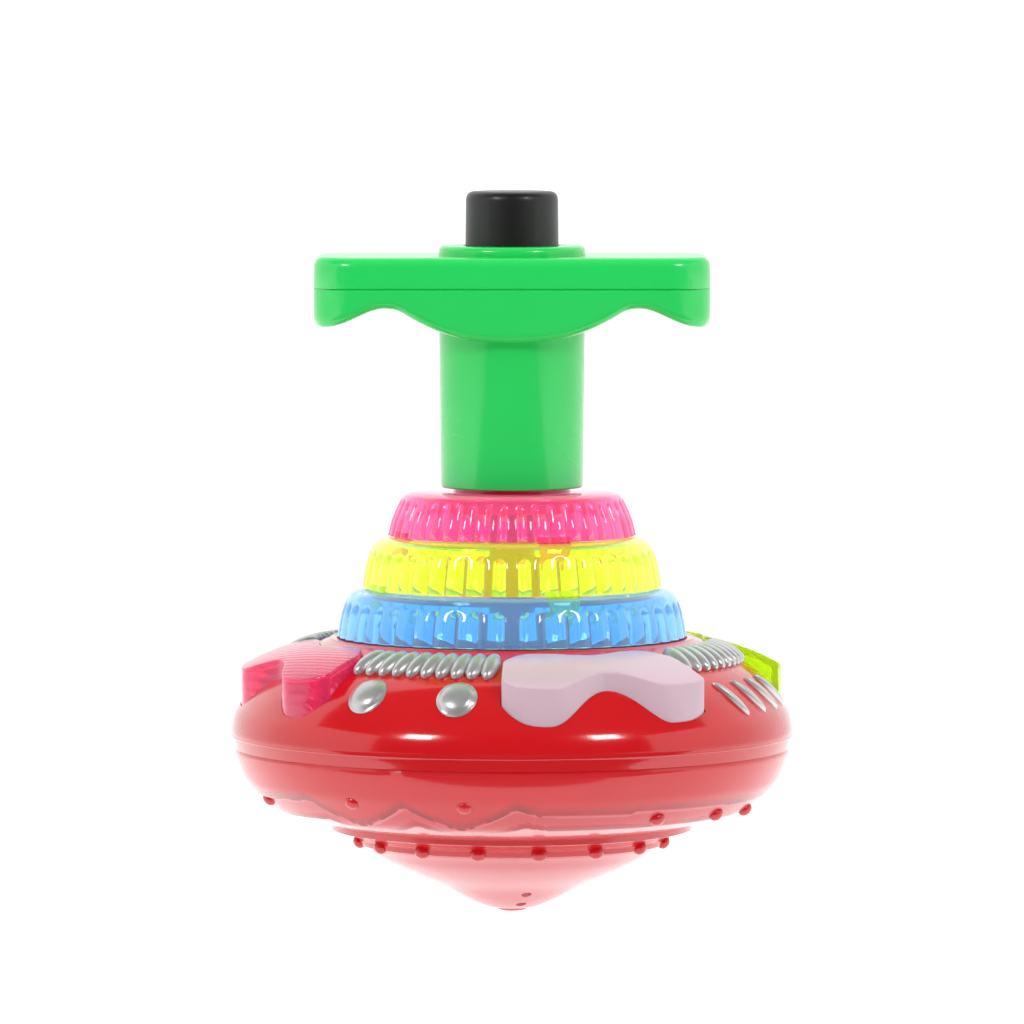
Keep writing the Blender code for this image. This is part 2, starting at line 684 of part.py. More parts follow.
def make_trim():
    """Silver relief between the lenses: two gaps with ovals and two with slanted dashes."""
    for side, turn in (("front", 0.0), ("back", 180.0)):
        coil("silver_coil_" + side, LENS_AZ - 45.0 + turn)
        for index, offset in enumerate((-10.8, 10.8)):
            name = "silver_oval_" + side + "_" + str(index + 1)
            stud(name, LENS_AZ - 45.0 + offset + turn, 13.3, 3.5, 3.8, 0.0, 1.0)
        other = "right" if side == "front" else "left"
        coil("silver_coil_" + other, LENS_AZ + 45.0 + turn)
        for index in range(4):
            name = "silver_dash_" + other + "_" + str(index + 1)
            stud(name, LENS_AZ + 33.8 + 7.8 * index + turn, 11.3, 0.8, 3.6, 2.2, 0.6)


def make_electrics():
    """Board, lamps, button cells in their tray, sounder and the spin switch."""
    prism("circuit_board", circle(33.6, 36), 31.0, 32.2, "board", circle(1.2, 36))
    lamp = [
        (0.0, 0.0), (2.9, 0.0), (2.9, 1.0), (2.45, 1.2), (2.45, 6.2), (2.0, 7.6), (1.1, 8.4),
        (0.0, 8.6),
    ]
    for index, color in enumerate(("white", "pink", "blue", "yellow")):
        turn = math.radians(LENS_AZ - 90.0 * index)
        spot = (30.2 * math.sin(turn), -30.2 * math.cos(turn))
        rise = [(r, z + 32.5) for r, z in lamp]
        revolve("led_" + color, rise, "clear_led", 12, spot)
    revolve("led_centre", [(r, z + 32.5) for r, z in lamp], "clear_led", 12)

    tray = revolve("battery_tray", disc(17.2, 21.5, 29.0), "black_plastic", 30)
    for index, spot in enumerate(circle(9.6, 3)):
        cut(tray, revolve("tool_pocket_" + str(index), disc(6.15, 23.2, 34.0), "steel", 20, spot))
        revolve("button_cell_" + str(index + 1), disc(5.8, 23.5, 28.9), "steel", 20, spot)
    prism("battery_contact", lobed(14.6, 6.0, 3, 30), 29.3, 29.7, "brass", circle(2.0, 30))
    revolve("sounder", disc(10.6, 6.8, 9.6), "brass", 28)
    post = (13.5, 13.5)
    revolve("switch_post", disc(0.5, 32.5, 40.0), "brass", 10, post)
    sweep("switch_spring", helix(1.5, 32.9, 39.6, 4, 8, post), 0.2, 4, "steel")


def main():
    clear_scene()
    make_handle()
    make_button()
    make_drive()
    make_pawl()
    make_tiers()
    make_shells()
    make_lenses()
    make_trim()
    make_electrics()


main()
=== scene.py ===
"""Looks of a light up spinning top that hangs under its hand launcher.

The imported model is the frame. Lengths are in millimetres until MM turns them into metres.
Azimuth 0 faces the front (-Y) and grows towards the right (+X).
"""

from __future__ import annotations

import json
import logging
import math
from dataclasses import dataclass, field
from enum import Enum
from typing import Callable, Sequence, Union

import bmesh
import bpy
import numpy as np
from mathutils import Matrix, Vector

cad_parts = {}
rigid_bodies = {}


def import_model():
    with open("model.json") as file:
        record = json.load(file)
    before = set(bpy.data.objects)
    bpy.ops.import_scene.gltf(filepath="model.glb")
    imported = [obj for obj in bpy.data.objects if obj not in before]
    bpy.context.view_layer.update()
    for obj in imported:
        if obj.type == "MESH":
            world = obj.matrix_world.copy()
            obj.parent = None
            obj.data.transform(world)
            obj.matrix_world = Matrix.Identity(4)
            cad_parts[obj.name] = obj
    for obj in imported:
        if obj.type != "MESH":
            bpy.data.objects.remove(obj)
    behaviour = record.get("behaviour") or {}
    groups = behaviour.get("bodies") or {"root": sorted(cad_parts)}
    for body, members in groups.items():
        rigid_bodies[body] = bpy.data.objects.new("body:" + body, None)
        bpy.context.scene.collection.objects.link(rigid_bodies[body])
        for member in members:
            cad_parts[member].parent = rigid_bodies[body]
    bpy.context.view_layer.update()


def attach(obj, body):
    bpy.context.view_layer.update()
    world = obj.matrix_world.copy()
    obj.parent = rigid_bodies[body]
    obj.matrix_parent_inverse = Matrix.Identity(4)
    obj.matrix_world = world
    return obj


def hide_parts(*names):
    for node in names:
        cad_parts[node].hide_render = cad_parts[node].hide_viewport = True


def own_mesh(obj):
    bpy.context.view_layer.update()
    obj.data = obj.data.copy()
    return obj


MM = 0.001
TAU = 2.0 * math.pi
LOG = logging.getLogger("spinning_top")

Flat = tuple[float, float]
Point = tuple[float, float, float]
Faces = list[list[int]]


# ---- node graphs -------------------------------------------------------------------------
class Sock:
    """An output socket that takes part in arithmetic, in shaders and in geometry nodes."""

    def __init__(self, graph: "Graph", socket: bpy.types.NodeSocket) -> None:
        """Wrap a socket of a graph."""
        self.graph = graph
        self.socket = socket

    def _math(self, operation: str, left: "Term", right: "Term") -> "Sock":
        """Add a Math node on two terms."""
        return self.graph.node("ShaderNodeMath", {"operation": operation}, {0: left, 1: right})

    def __add__(self, other: "Term") -> "Sock":
        """This plus other."""
        return self._math("ADD", self, other)

    def __radd__(self, other: "Term") -> "Sock":
        """Other plus this."""
        return self._math("ADD", other, self)

    def __sub__(self, other: "Term") -> "Sock":
        """This minus other."""
        return self._math("SUBTRACT", self, other)

    def __rsub__(self, other: "Term") -> "Sock":
        """Other minus this."""
        return self._math("SUBTRACT", other, self)

    def __mul__(self, other: "Term") -> "Sock":
        """This times other."""
        return self._math("MULTIPLY", self, other)

    def __rmul__(self, other: "Term") -> "Sock":
        """Other times this."""
        return self._math("MULTIPLY", other, self)

    def __truediv__(self, other: "Term") -> "Sock":
        """This divided by other."""
        return self._math("DIVIDE", self, other)

    def call(self, operation: str, other: "Term" = 0.0) -> "Sock":
        """Any other Math operation, such as SINE, on this and, if it takes one, other."""
        return self._math(operation, self, other)


Term = Union[Sock, float]


class Graph:
    """Adds nodes to a tree."""

    def __init__(self, tree: bpy.types.NodeTree) -> None:
        """Work on this tree."""
        self.tree = tree

    def node(self, kind: str, settings: dict | None = None, values: dict | None = None,
             out: int | str = 0) -> Sock:
        """Add one node.

        Args:
            kind: The node's type.
            settings: Its own settings.
            values: A value or a linked Sock for each input named or numbered.
            out: The output that is wanted.

        Returns:
            That output.
        """
        made = self.tree.nodes.new(kind)
        for key, value in (settings or {}).items():
            setattr(made, key, value)
        for key, value in (values or {}).items():
            if isinstance(value, Sock):
                self.tree.links.new(value.socket, made.inputs[key])
            else:
                made.inputs[key].default_value = value
        return Sock(self, made.outputs[out])

    def noise(self, where: Sock, scale: float, detail: float = 2.0) -> Sock:
        """Noise of about 0.5 on coordinates."""
        return self.node("ShaderNodeTexNoise", {}, {"Vector": where, "Scale": scale,
                                                    "Detail": detail})

    def blend(self, share: Term, first: "Sock | tuple", second: "Sock | tuple") -> Sock:
        """Mix two colours by share."""
        return self.node("ShaderNodeMix", {"data_type": "RGBA"},
                         {0: share, 6: first, 7: second}, 2)


class Surface(Graph):
    """A material's node graph with its Principled shader."""

    def __init__(self, name: str) -> None:
        """Start a material of this name."""
        self.made = bpy.data.materials.new(name)
        self.made.use_nodes = True
        super().__init__(self.made.node_tree)
        self.shader = self.made.node_tree.nodes["Principled BSDF"]
        self.place = self.node("ShaderNodeTexCoord", {}, {}, "Object")

    def set(self, **values: object) -> None:
        """Set or link the shader's inputs, with _ for a space in a name."""
        for key, value in values.items():
            socket = self.shader.inputs[key.replace("_", " ")]
            if isinstance(value, Sock):
                self.tree.links.new(value.socket, socket)
            else:
                socket.default_value = value

    def bump(self, height: Sock, strength: float, distance: float) -> None:
        """Drive the normal from a height, in metres of distance."""
        self.set(Normal=self.node("ShaderNodeBump", {}, {"Height": height, "Strength": strength,
                                                         "Distance": distance}))


def rgba(color: Sequence[float], gain: float = 1.0) -> tuple[float, float, float, float]:
    """A colour with its alpha, made lighter or darker."""
    return (color[0] * gain, color[1] * gain, color[2] * gain, 1.0)


# ---- finishes ----------------------------------------------------------------------------
@dataclass(frozen=True)
class MouldedPlastic:
    """Opaque injection-moulded plastic with faint flow marks and orange peel; on the bowl it also
    carries painted shade and painted highlights along the steps.
    """

    name: str
    color: Point
    roughness: float = 0.22
    coat: float = 0.5
    mottle: float = 0.06
    glow: float = 0.0
    matte_radius: float = 0.0
    painted_step_shade: bool = False

    def material(self) -> bpy.types.Material:
        """Build the material."""
        work = Surface(self.name)
        flow = work.noise(work.place, 70.0, 3.0)
        grain = work.noise(work.place, 900.0, 2.0)
        shine: Term = 1.0
        if self.matte_radius:
            flat = work.node("ShaderNodeVectorMath", {"operation": "MULTIPLY"},
                             {0: work.place, 1: (1.0, 1.0, 0.0)})
            span = work.node("ShaderNodeVectorMath", {"operation": "LENGTH"}, {0: flat}, 1)
            shine = span.call("GREATER_THAN", self.matte_radius)
        tint = work.blend(flow, rgba(self.color, 1.0 - self.mottle),
                          rgba(self.color, 1.0 + self.mottle))
        # Painted shade and painted highlights along the bowl's steps, read from the band
        # attribute.
        if self.painted_step_shade:
            band = work.node("ShaderNodeAttribute", {"attribute_name": "band"}, {}, 2)
            # Painted shade: above 0 the colour darkens towards a quarter of itself.
            tint = work.blend(band.call("MAXIMUM", 0.0) * 0.75, tint, rgba(self.color, 0.25))
            # Painted highlight and painted reflection: below 0 the colour turns pale pink.
            tint = work.blend((band * -1.0).call("MAXIMUM", 0.0) * 0.7, tint,
                              (0.78, 0.24, 0.27, 1.0))
        work.set(
            Base_Color=tint,
            Roughness=flow * 0.08 + (self.roughness - 0.04) + (1.0 - shine) * 0.6,
            Coat_Weight=shine * self.coat, Coat_Roughness=0.06, IOR=1.5,
            Subsurface_Weight=self.glow, Subsurface_Radius=(1.0, 0.35, 0.35),
            Subsurface_Scale=0.004,
        )
        work.bump(grain * 0.6 + flow * 0.4, 0.05, 0.0002)
        return work.made


@dataclass(frozen=True)
class ClearPlastic:
    """Tinted see-through plastic with faint ripples; some carry a moulded hatch, and some a
    painted glow that brightens them though their lamps are off.
    """

    name: str
    color: Point
    roughness: float = 0.03
    clear: float = 0.88
    hatch: float = 0.0
    # glow: strength of a painted glow, an emission in the plastic's own colour that stands in for
    # light through it.
    glow: float = 0.0

    def material(self) -> bpy.types.Material:
        """Build the material."""
        work = Surface(self.name)
        ripple = work.noise(work.place, 160.0, 2.0)
        height: Sock = ripple * 0.5
        if self.hatch:
            lines = work.node("ShaderNodeTexWave", {"bands_direction": "DIAGONAL"},
                              {"Vector": work.place, "Scale": 330.0})
            height = height + lines * self.hatch
        work.set(
            Base_Color=work.blend(ripple, rgba(self.color, 0.93), rgba(self.color)),
            Roughness=ripple * 0.04 + self.roughness, IOR=1.46,
            Transmission_Weight=self.clear, Coat_Weight=0.3, Coat_Roughness=0.03,
            # Painted glow: the plastic emits its own colour though no lamp in it is lit.
            Emission_Color=rgba(self.color), Emission_Strength=self.glow,
        )
        work.bump(height, 0.25, 0.0003)
        return work.made


@dataclass(frozen=True)
class MilkyPlastic:
    """Cloudy lamp window with a soft mauve body."""

    name: str
    color: Point

    def material(self) -> bpy.types.Material:
        """Build the material."""
        work = Surface(self.name)
        cloud = work.noise(work.place, 90.0, 3.0)
        work.set(
            Base_Color=work.blend(cloud, rgba(self.color, 0.985), rgba(self.color, 1.015)),
            Roughness=cloud * 0.06 + 0.27, IOR=1.48, Subsurface_Weight=0.12,
            Subsurface_Radius=(1.0, 0.8, 0.9), Subsurface_Scale=0.003,
            Coat_Weight=0.4, Coat_Roughness=0.1,
        )
        work.bump(work.noise(work.place, 700.0), 0.05, 0.0002)
        return work.made


@dataclass(frozen=True)
class Metal:
    """Bare or painted metal finish with fine streaks and worn spots."""

    name: str
    color: Point
    roughness: float = 0.3
    metallic: float = 1.0
    grain: float = 500.0

    def material(self) -> bpy.types.Material:
        """Build the material."""
        work = Surface(self.name)
        fine = work.noise(work.place, self.grain, 4.0)
        broad = work.noise(work.place, 120.0, 2.0)
        work.set(
            Base_Color=work.blend(broad, rgba(self.color, 0.8), rgba(self.color, 1.1)),
            Roughness=fine * 0.2 + (self.roughness - 0.1), Metallic=self.metallic,
        )
        work.bump(fine, 0.12, 0.0002)
        return work.made


@dataclass(frozen=True)
class Board:
    """Green circuit board with pale copper runs under its lacquer."""

    name: str = "circuit_board_lacquer"

    def material(self) -> bpy.types.Material:
        """Build the material."""
        work = Surface(self.name)
        cells = work.node("ShaderNodeTexVoronoi", {"feature": "DISTANCE_TO_EDGE"},
                          {"Vector": work.place, "Scale": 260.0})
        runs = cells.call("LESS_THAN", 0.08)
        work.set(Base_Color=work.blend(runs, (0.01, 0.16, 0.05, 1), (0.10, 0.36, 0.12, 1)),
                 Roughness=runs * 0.1 + 0.3, Coat_Weight=0.6)
        work.bump(runs, 0.3, 0.0001)
        return work.made


class Finish(Enum):
    """Every finish on the toy."""

    GREEN = MouldedPlastic("green_moulded_plastic", (0.014, 0.63, 0.106), 0.26, 0.4, 0.03)
    BLACK = MouldedPlastic("black_button_plastic", (0.008, 0.008, 0.008), 0.40, 0.1)
    RED = MouldedPlastic("red_moulded_plastic", (0.58, 0.004, 0.008), 0.16, 0.6, 0.03)
    SHELL_RED = MouldedPlastic("red_shell_plastic", (0.58, 0.004, 0.008), 0.16, 0.6, 0.03,
                               matte_radius=0.0302)
    # The bowl's red takes painted shade and painted highlights along its steps.
    BOWL_RED = MouldedPlastic("red_bowl_plastic_painted_shade", (0.62, 0.008, 0.014), 0.24, 0.5, 0.03,
                              painted_step_shade=True)
    # The caps and windows below carry a painted glow (glow=).
    PINK = ClearPlastic("pink_clear_plastic", (1.0, 0.18, 0.44), glow=0.16)
    YELLOW = ClearPlastic("yellow_green_clear_plastic", (0.86, 1.0, 0.12), glow=0.13)
    BLUE = ClearPlastic("blue_clear_plastic", (0.26, 0.62, 1.0), glow=0.12)
    PINK_WINDOW = ClearPlastic("pink_window_plastic", (1.0, 0.08, 0.26), 0.06, 0.8, 0.7, 0.07)
    YELLOW_WINDOW = ClearPlastic("yellow_window_plastic", (0.76, 1.0, 0.03), 0.06, 0.8, 0.7, 0.07)
    BLUE_WINDOW = ClearPlastic("blue_window_plastic", (0.05, 0.26, 1.0), 0.06, 0.8, 0.7, 0.05)
    WHITE_WINDOW = MilkyPlastic("milky_window_plastic", (0.60, 0.43, 0.50))
    SILVER = Metal("silver_paint", (0.68, 0.68, 0.67), 0.34, 0.72, 900.0)
    STEEL = Metal("plain_steel", (0.56, 0.57, 0.58), 0.32)
    BRASS = Metal("plain_brass", (0.80, 0.58, 0.24), 0.3)
    WHITE = MouldedPlastic("white_works_plastic", (0.78, 0.78, 0.74), 0.4, 0.1)
    BOARD = Board()
    LAMP = ClearPlastic("clear_lamp_resin", (0.92, 0.94, 0.97), 0.05, 0.6)


class FinishShelf:
    """Makes each finish's material once."""

    def __init__(self) -> None:
        """Start with an empty shelf."""
        self.kept: dict[Finish, bpy.types.Material] = {}

    def get(self, finish: Finish) -> bpy.types.Material:
        """The finish's material."""
        if finish not in self.kept:
            self.kept[finish] = finish.value.material()
        return self.kept[finish]


SHELF = FinishShelf()


# ---- shape helpers -----------------------------------------------------------------------
def rounded(corners: Sequence[Point], steps: int = 5) -> list[Flat]:
    """Round the corners of a closed outline.

    Args:
        corners: (x, y, reach) of each corner; reach is how far along each side the curve
            starts, and 0 keeps the corner.
        steps: Points per rounded corner.

    Returns:
        The outline's points.
    """
    out: list[Flat] = []
    for index, (x, y, reach) in enumerate(corners):
        if reach <= 0.0:
            out.append((x, y))
            continue
        here = Vector((x, y))
        back = Vector(corners[index - 1][:2]) - here
        ahead = Vector(corners[(index + 1) % len(corners)][:2]) - here
        length = min(reach, 0.49 * back.length, 0.49 * ahead.length)
        start, end = here + back.normalized() * length, here + ahead.normalized() * length
        for step in range(steps + 1):
            t = step / steps
            spot = start * (1 - t) ** 2 + here * (2 * t * (1 - t)) + end * t * t
            out.append((spot.x, spot.y))
    return out


def smooth_run(knots: Sequence[Flat], per: int) -> list[Flat]:
    """Smooth curve through knots, with per points for each stretch."""
    out: list[Flat] = []
    for index in range(len(knots) - 1):
        p0, p1 = Vector(knots[max(index - 1, 0)]), Vector(knots[index])
        p2, p3 = Vector(knots[index + 1]), Vector(knots[min(index + 2, len(knots) - 1)])
        for step in range(per):
            t = step / per
            spot = 0.5 * (2 * p1 + (p2 - p0) * t + (2 * p0 - 5 * p1 + 4 * p2 - p3) * t * t
                          + (3 * p1 - p0 - 3 * p2 + p3) * t ** 3)
            out.append((spot.x, spot.y))
    return out + [tuple(knots[-1])]


def read(table: Sequence[Flat], x: float) -> float:
    """Straight-line reading of a table of (x, value) pairs with growing x."""
    for (x0, y0), (x1, y1) in zip(table, table[1:]):
        if x <= x1:
            return y0 + (y1 - y0) * max((x - x0) / (x1 - x0), 0.0)
    return table[-1][1]


def lathe(outline: "Sequence[Flat] | Callable[[float], Sequence[Flat]]", segments: int,
          centre: Flat = (0.0, 0.0)) -> tuple[list[Point], Faces]:
    """Turn a closed (radius, height) outline about an upright axis.

    Args:
        outline: The section, or a function of azimuth (radians) that gives it.
        segments: Steps round the axis.
        centre: Where the axis stands.

    Returns:
        Points and faces, with points on the axis still to be merged.
    """
    points: list[Point] = []
    for step in range(segments):
        az = TAU * step / segments
        section = outline(az) if callable(outline) else outline
        points += [(centre[0] + r * math.sin(az), centre[1] - r * math.cos(az), z)
                   for r, z in section]
    size = len(points) // segments
    faces: Faces = []
    for step in range(segments):
        here, after = step * size, (step + 1) % segments * size
        for low in range(size):
            high = (low + 1) % size
            faces.append([here + low, after + low, after + high, here + high])
    return points, faces


def shaped(name: str, points: Sequence[Point], faces: Faces) -> bpy.types.Object:
    """A closed mesh object in metres, with its faces turned outward."""
    mesh = bpy.data.meshes.new(name)
    mesh.from_pydata([Vector(p) * MM for p in points], [], faces)
    work = bmesh.new()
    work.from_mesh(mesh)
    bmesh.ops.remove_doubles(work, verts=work.verts, dist=1e-7)
    bmesh.ops.dissolve_degenerate(work, edges=work.edges, dist=1e-8)
    bmesh.ops.recalc_face_normals(work, faces=work.faces)
    work.to_mesh(mesh)
    work.free()
    obj = bpy.data.objects.new(name, mesh)
    bpy.context.scene.collection.objects.link(obj)
    return obj


def settled(obj: bpy.types.Object) -> bpy.types.Object:
    """Turn an object's modifiers into its mesh and remove them."""
    bpy.context.view_layer.update()
    graph = bpy.context.evaluated_depsgraph_get()
    mesh = bpy.data.meshes.new_from_object(obj.evaluated_get(graph), depsgraph=graph)
    obj.modifiers.clear()
    obj.data = mesh
    return obj


def carve(obj: bpy.types.Object, tools: Sequence[bpy.types.Object]) -> bpy.types.Object:
    """Cut tools out of an object and throw the tools away."""
    for tool in tools:
        step = obj.modifiers.new("cut", "BOOLEAN")
        step.operation, step.solver, step.object = "DIFFERENCE", "EXACT", tool
    settled(obj)
    for tool in tools:
        bpy.data.objects.remove(tool, do_unlink=True)
    return obj


def soften(obj: bpy.types.Object, width: float, segments: int = 3, angle: float = 40.0) -> None:
    """Round an object's sharp edges by a width in millimetres."""
    step = obj.modifiers.new("edge", "BEVEL")
    step.width, step.segments = width * MM, segments
    step.limit_method, step.angle_limit = "ANGLE", math.radians(angle)
    settled(obj)


def finish_piece(obj: bpy.types.Object, finish: Finish, body: str,
                 stands_for: Sequence[str] = (), sharp: float = 38.0) -> bpy.types.Object:
    """Shade, dress and mount a piece.

    Args:
        obj: The piece, with its place in its mesh.
        finish: What it is made of.
        body: The body it moves with.
        stands_for: CAD nodes it replaces.
        sharp: Angle in degrees past which an edge stays sharp.

    Returns:
        The piece.
    """
    obj.data.materials.clear()
    obj.data.materials.append(SHELF.get(finish))
    obj.data.shade_smooth()
    obj.data.set_sharp_from_angle(angle=math.radians(sharp))
    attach(obj, body)
    if stands_for:
        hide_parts(*stands_for)
    LOG.info("%s rides on %s", obj.name, body)
    return obj


def walled(top: Sequence[Sequence[Point]], bottom: Sequence[Sequence[Point]],
           name: str) -> bpy.types.Object:
    """Closed solid between two equal grids of points."""
    rows, columns = len(top), len(top[0])
    size = rows * columns
    points = [p for grid in (top, bottom) for row in grid for p in row]
    faces: Faces = []
    for base in (0, size):
        for i in range(rows - 1):
            for j in range(columns - 1):
                a = base + i * columns + j
                faces.append([a, a + 1, a + columns + 1, a + columns])
    edge = rim(rows, columns)
    for a, b in zip(edge, edge[1:] + edge[:1]):
        faces.append([a, b, b + size, a + size])
    return shaped(name, points, faces)


def rim(rows: int, columns: int) -> list[int]:
    """Indices round the edge of a grid."""
    edge = list(range(columns)) + [i * columns + columns - 1 for i in range(1, rows)]
    edge += [(rows - 1) * columns + j for j in range(columns - 2, -1, -1)]
    return edge + [i * columns for i in range(rows - 2, 0, -1)]


# ---- geometry node trees -----------------------------------------------------------------
class NodeShape(Graph):
    """A geometry node tree with named inputs, put on an object and settled into its mesh."""

    def __init__(self, name: str, inputs: Sequence[tuple[str, str, float | int]]) -> None:
        """Start a tree.

        Args:
            name: The tree's name.
            inputs: (name, socket type, value) of each input after the geometry.
        """
        tree = bpy.data.node_groups.new(name, "GeometryNodeTree")
        super().__init__(tree)
        tree.interface.new_socket("Geometry", in_out="INPUT", socket_type="NodeSocketGeometry")
        self.keys: dict[str, str] = {}
        for label, kind, value in inputs:
            made = tree.interface.new_socket(label, in_out="INPUT", socket_type=kind)
            made.default_value = value
            self.keys[label] = made.identifier
        tree.interface.new_socket("Geometry", in_out="OUTPUT", socket_type="NodeSocketGeometry")
        self.start = tree.nodes.new("NodeGroupInput")

    def given(self, label: str) -> Sock:
        """An input's socket."""
        return Sock(self, self.start.outputs[label])

    def end(self, geometry: Sock, material: bpy.types.Material) -> None:
        """Realize, set the material and send the geometry out."""
        real = self.node("GeometryNodeRealizeInstances", {}, {0: geometry})
        dressed = self.node("GeometryNodeSetMaterial", {}, {0: real, "Material": material})
        out = self.tree.nodes.new("NodeGroupOutput")
        self.tree.links.new(dressed.socket, out.inputs[0])

    def apply(self, obj: bpy.types.Object, **values: float) -> bpy.types.Object:
        """Run the tree on an object, with inputs named in lower case with _ for spaces."""
        step = obj.modifiers.new("shape", "NODES")
        step.node_group = self.tree
        for label, key in self.keys.items():
            given = values.get(label.lower().replace(" ", "_"))
            if given is not None:
                step[key] = given
        return settled(obj)


def flute_tree(material: bpy.types.Material) -> NodeShape:
    """Tree that presses upright flutes into a turned wall where its attribute asks for them."""
    tree = NodeShape("Flutes", (("Count", "NodeSocketInt", 46), ("Depth", "NodeSocketFloat", 0.0)))
    spot = tree.node("GeometryNodeInputPosition")
    x, y = (tree.node("ShaderNodeSeparateXYZ", {}, {0: spot}, out) for out in (0, 1))
    turn = y.call("ARCTAN2", x) / TAU * tree.given("Count")
    across = turn.call("FRACT") * 2.0 - 1.0
    bulge = 1.0 - (1.0 - across * across * 0.98).call("SQRT")
    ask = tree.node("GeometryNodeInputNamedAttribute", {"data_type": "FLOAT"}, {"Name": "flute"})
    depth = bulge * ask * tree.given("Depth") * -1.0
    flat = tree.node("ShaderNodeVectorMath", {"operation": "MULTIPLY"},
                     {0: spot, 1: (1.0, 1.0, 0.0)})
    way = tree.node("ShaderNodeVectorMath", {"operation": "NORMALIZE"}, {0: flat})
    push = tree.node("ShaderNodeVectorMath", {"operation": "SCALE"}, {0: way, "Scale": depth})
    moved = tree.node("GeometryNodeSetPosition", {}, {0: tree.given("Geometry"), "Offset": push})
    tree.end(moved, material)
    return tree


def bead_tree(material: bpy.types.Material) -> NodeShape:
    """Tree that puts one rounded bead on every point, turned by the point's attribute."""
    sizes = [(label, "NodeSocketFloat", 1.0) for label in ("Width", "Length", "Height")]
    tree = NodeShape("Beads", (*sizes, ("Sides", "NodeSocketInt", 16)))
    ball = tree.node("GeometryNodeMeshUVSphere", {},
                     {"Segments": tree.given("Sides"), "Rings": 10, "Radius": 1.0})
    smooth = tree.node("GeometryNodeSetShadeSmooth", {}, {0: ball})
    size = tree.node("ShaderNodeCombineXYZ", {}, {0: tree.given("Width"), 1: tree.given("Length"),
                                                  2: tree.given("Height")})
    turn = tree.node("GeometryNodeInputNamedAttribute", {"data_type": "FLOAT_VECTOR"},
                     {"Name": "turn"})
    points = tree.node("GeometryNodeMeshToPoints", {}, {0: tree.given("Geometry")})
    placed = tree.node("GeometryNodeInstanceOnPoints", {},
                       {"Points": points, "Instance": smooth, "Rotation": turn, "Scale": size})
    tree.end(placed, material)
    return tree


def beads(name: str, seats: Sequence[tuple[Point, Vector, Vector]], finish: Finish,
          size: Point, sides: int = 16) -> bpy.types.Object:
    """Beads standing on a surface.

    Args:
        name: The piece's name.
        seats: (place, outward normal, direction of the bead's length) of each bead.
        finish: What the beads are made of.
        size: Half width, half length and height in millimetres.
        sides: Facets round each bead.

    Returns:
        One mesh object holding every bead.
    """
    obj = bpy.data.objects.new(name, bpy.data.meshes.new(name))
    bpy.context.scene.collection.objects.link(obj)
    obj.data.from_pydata([Vector(spot) * MM for spot, _, _ in seats], [], [])
    turns = obj.data.attributes.new("turn", "FLOAT_VECTOR", "POINT")
    for item, (_, normal, along) in zip(turns.data, seats):
        up = normal.normalized()
        ahead = (along - up * along.dot(up)).normalized()
        side = ahead.cross(up)
        frame = [[side[i], ahead[i], up[i]] for i in range(3)]
        item.vector = Vector(Matrix(frame).to_euler("XYZ"))
    return bead_tree(SHELF.get(finish)).apply(obj, width=size[0] * MM, length=size[1] * MM,
                                              height=size[2] * MM, sides=sides)


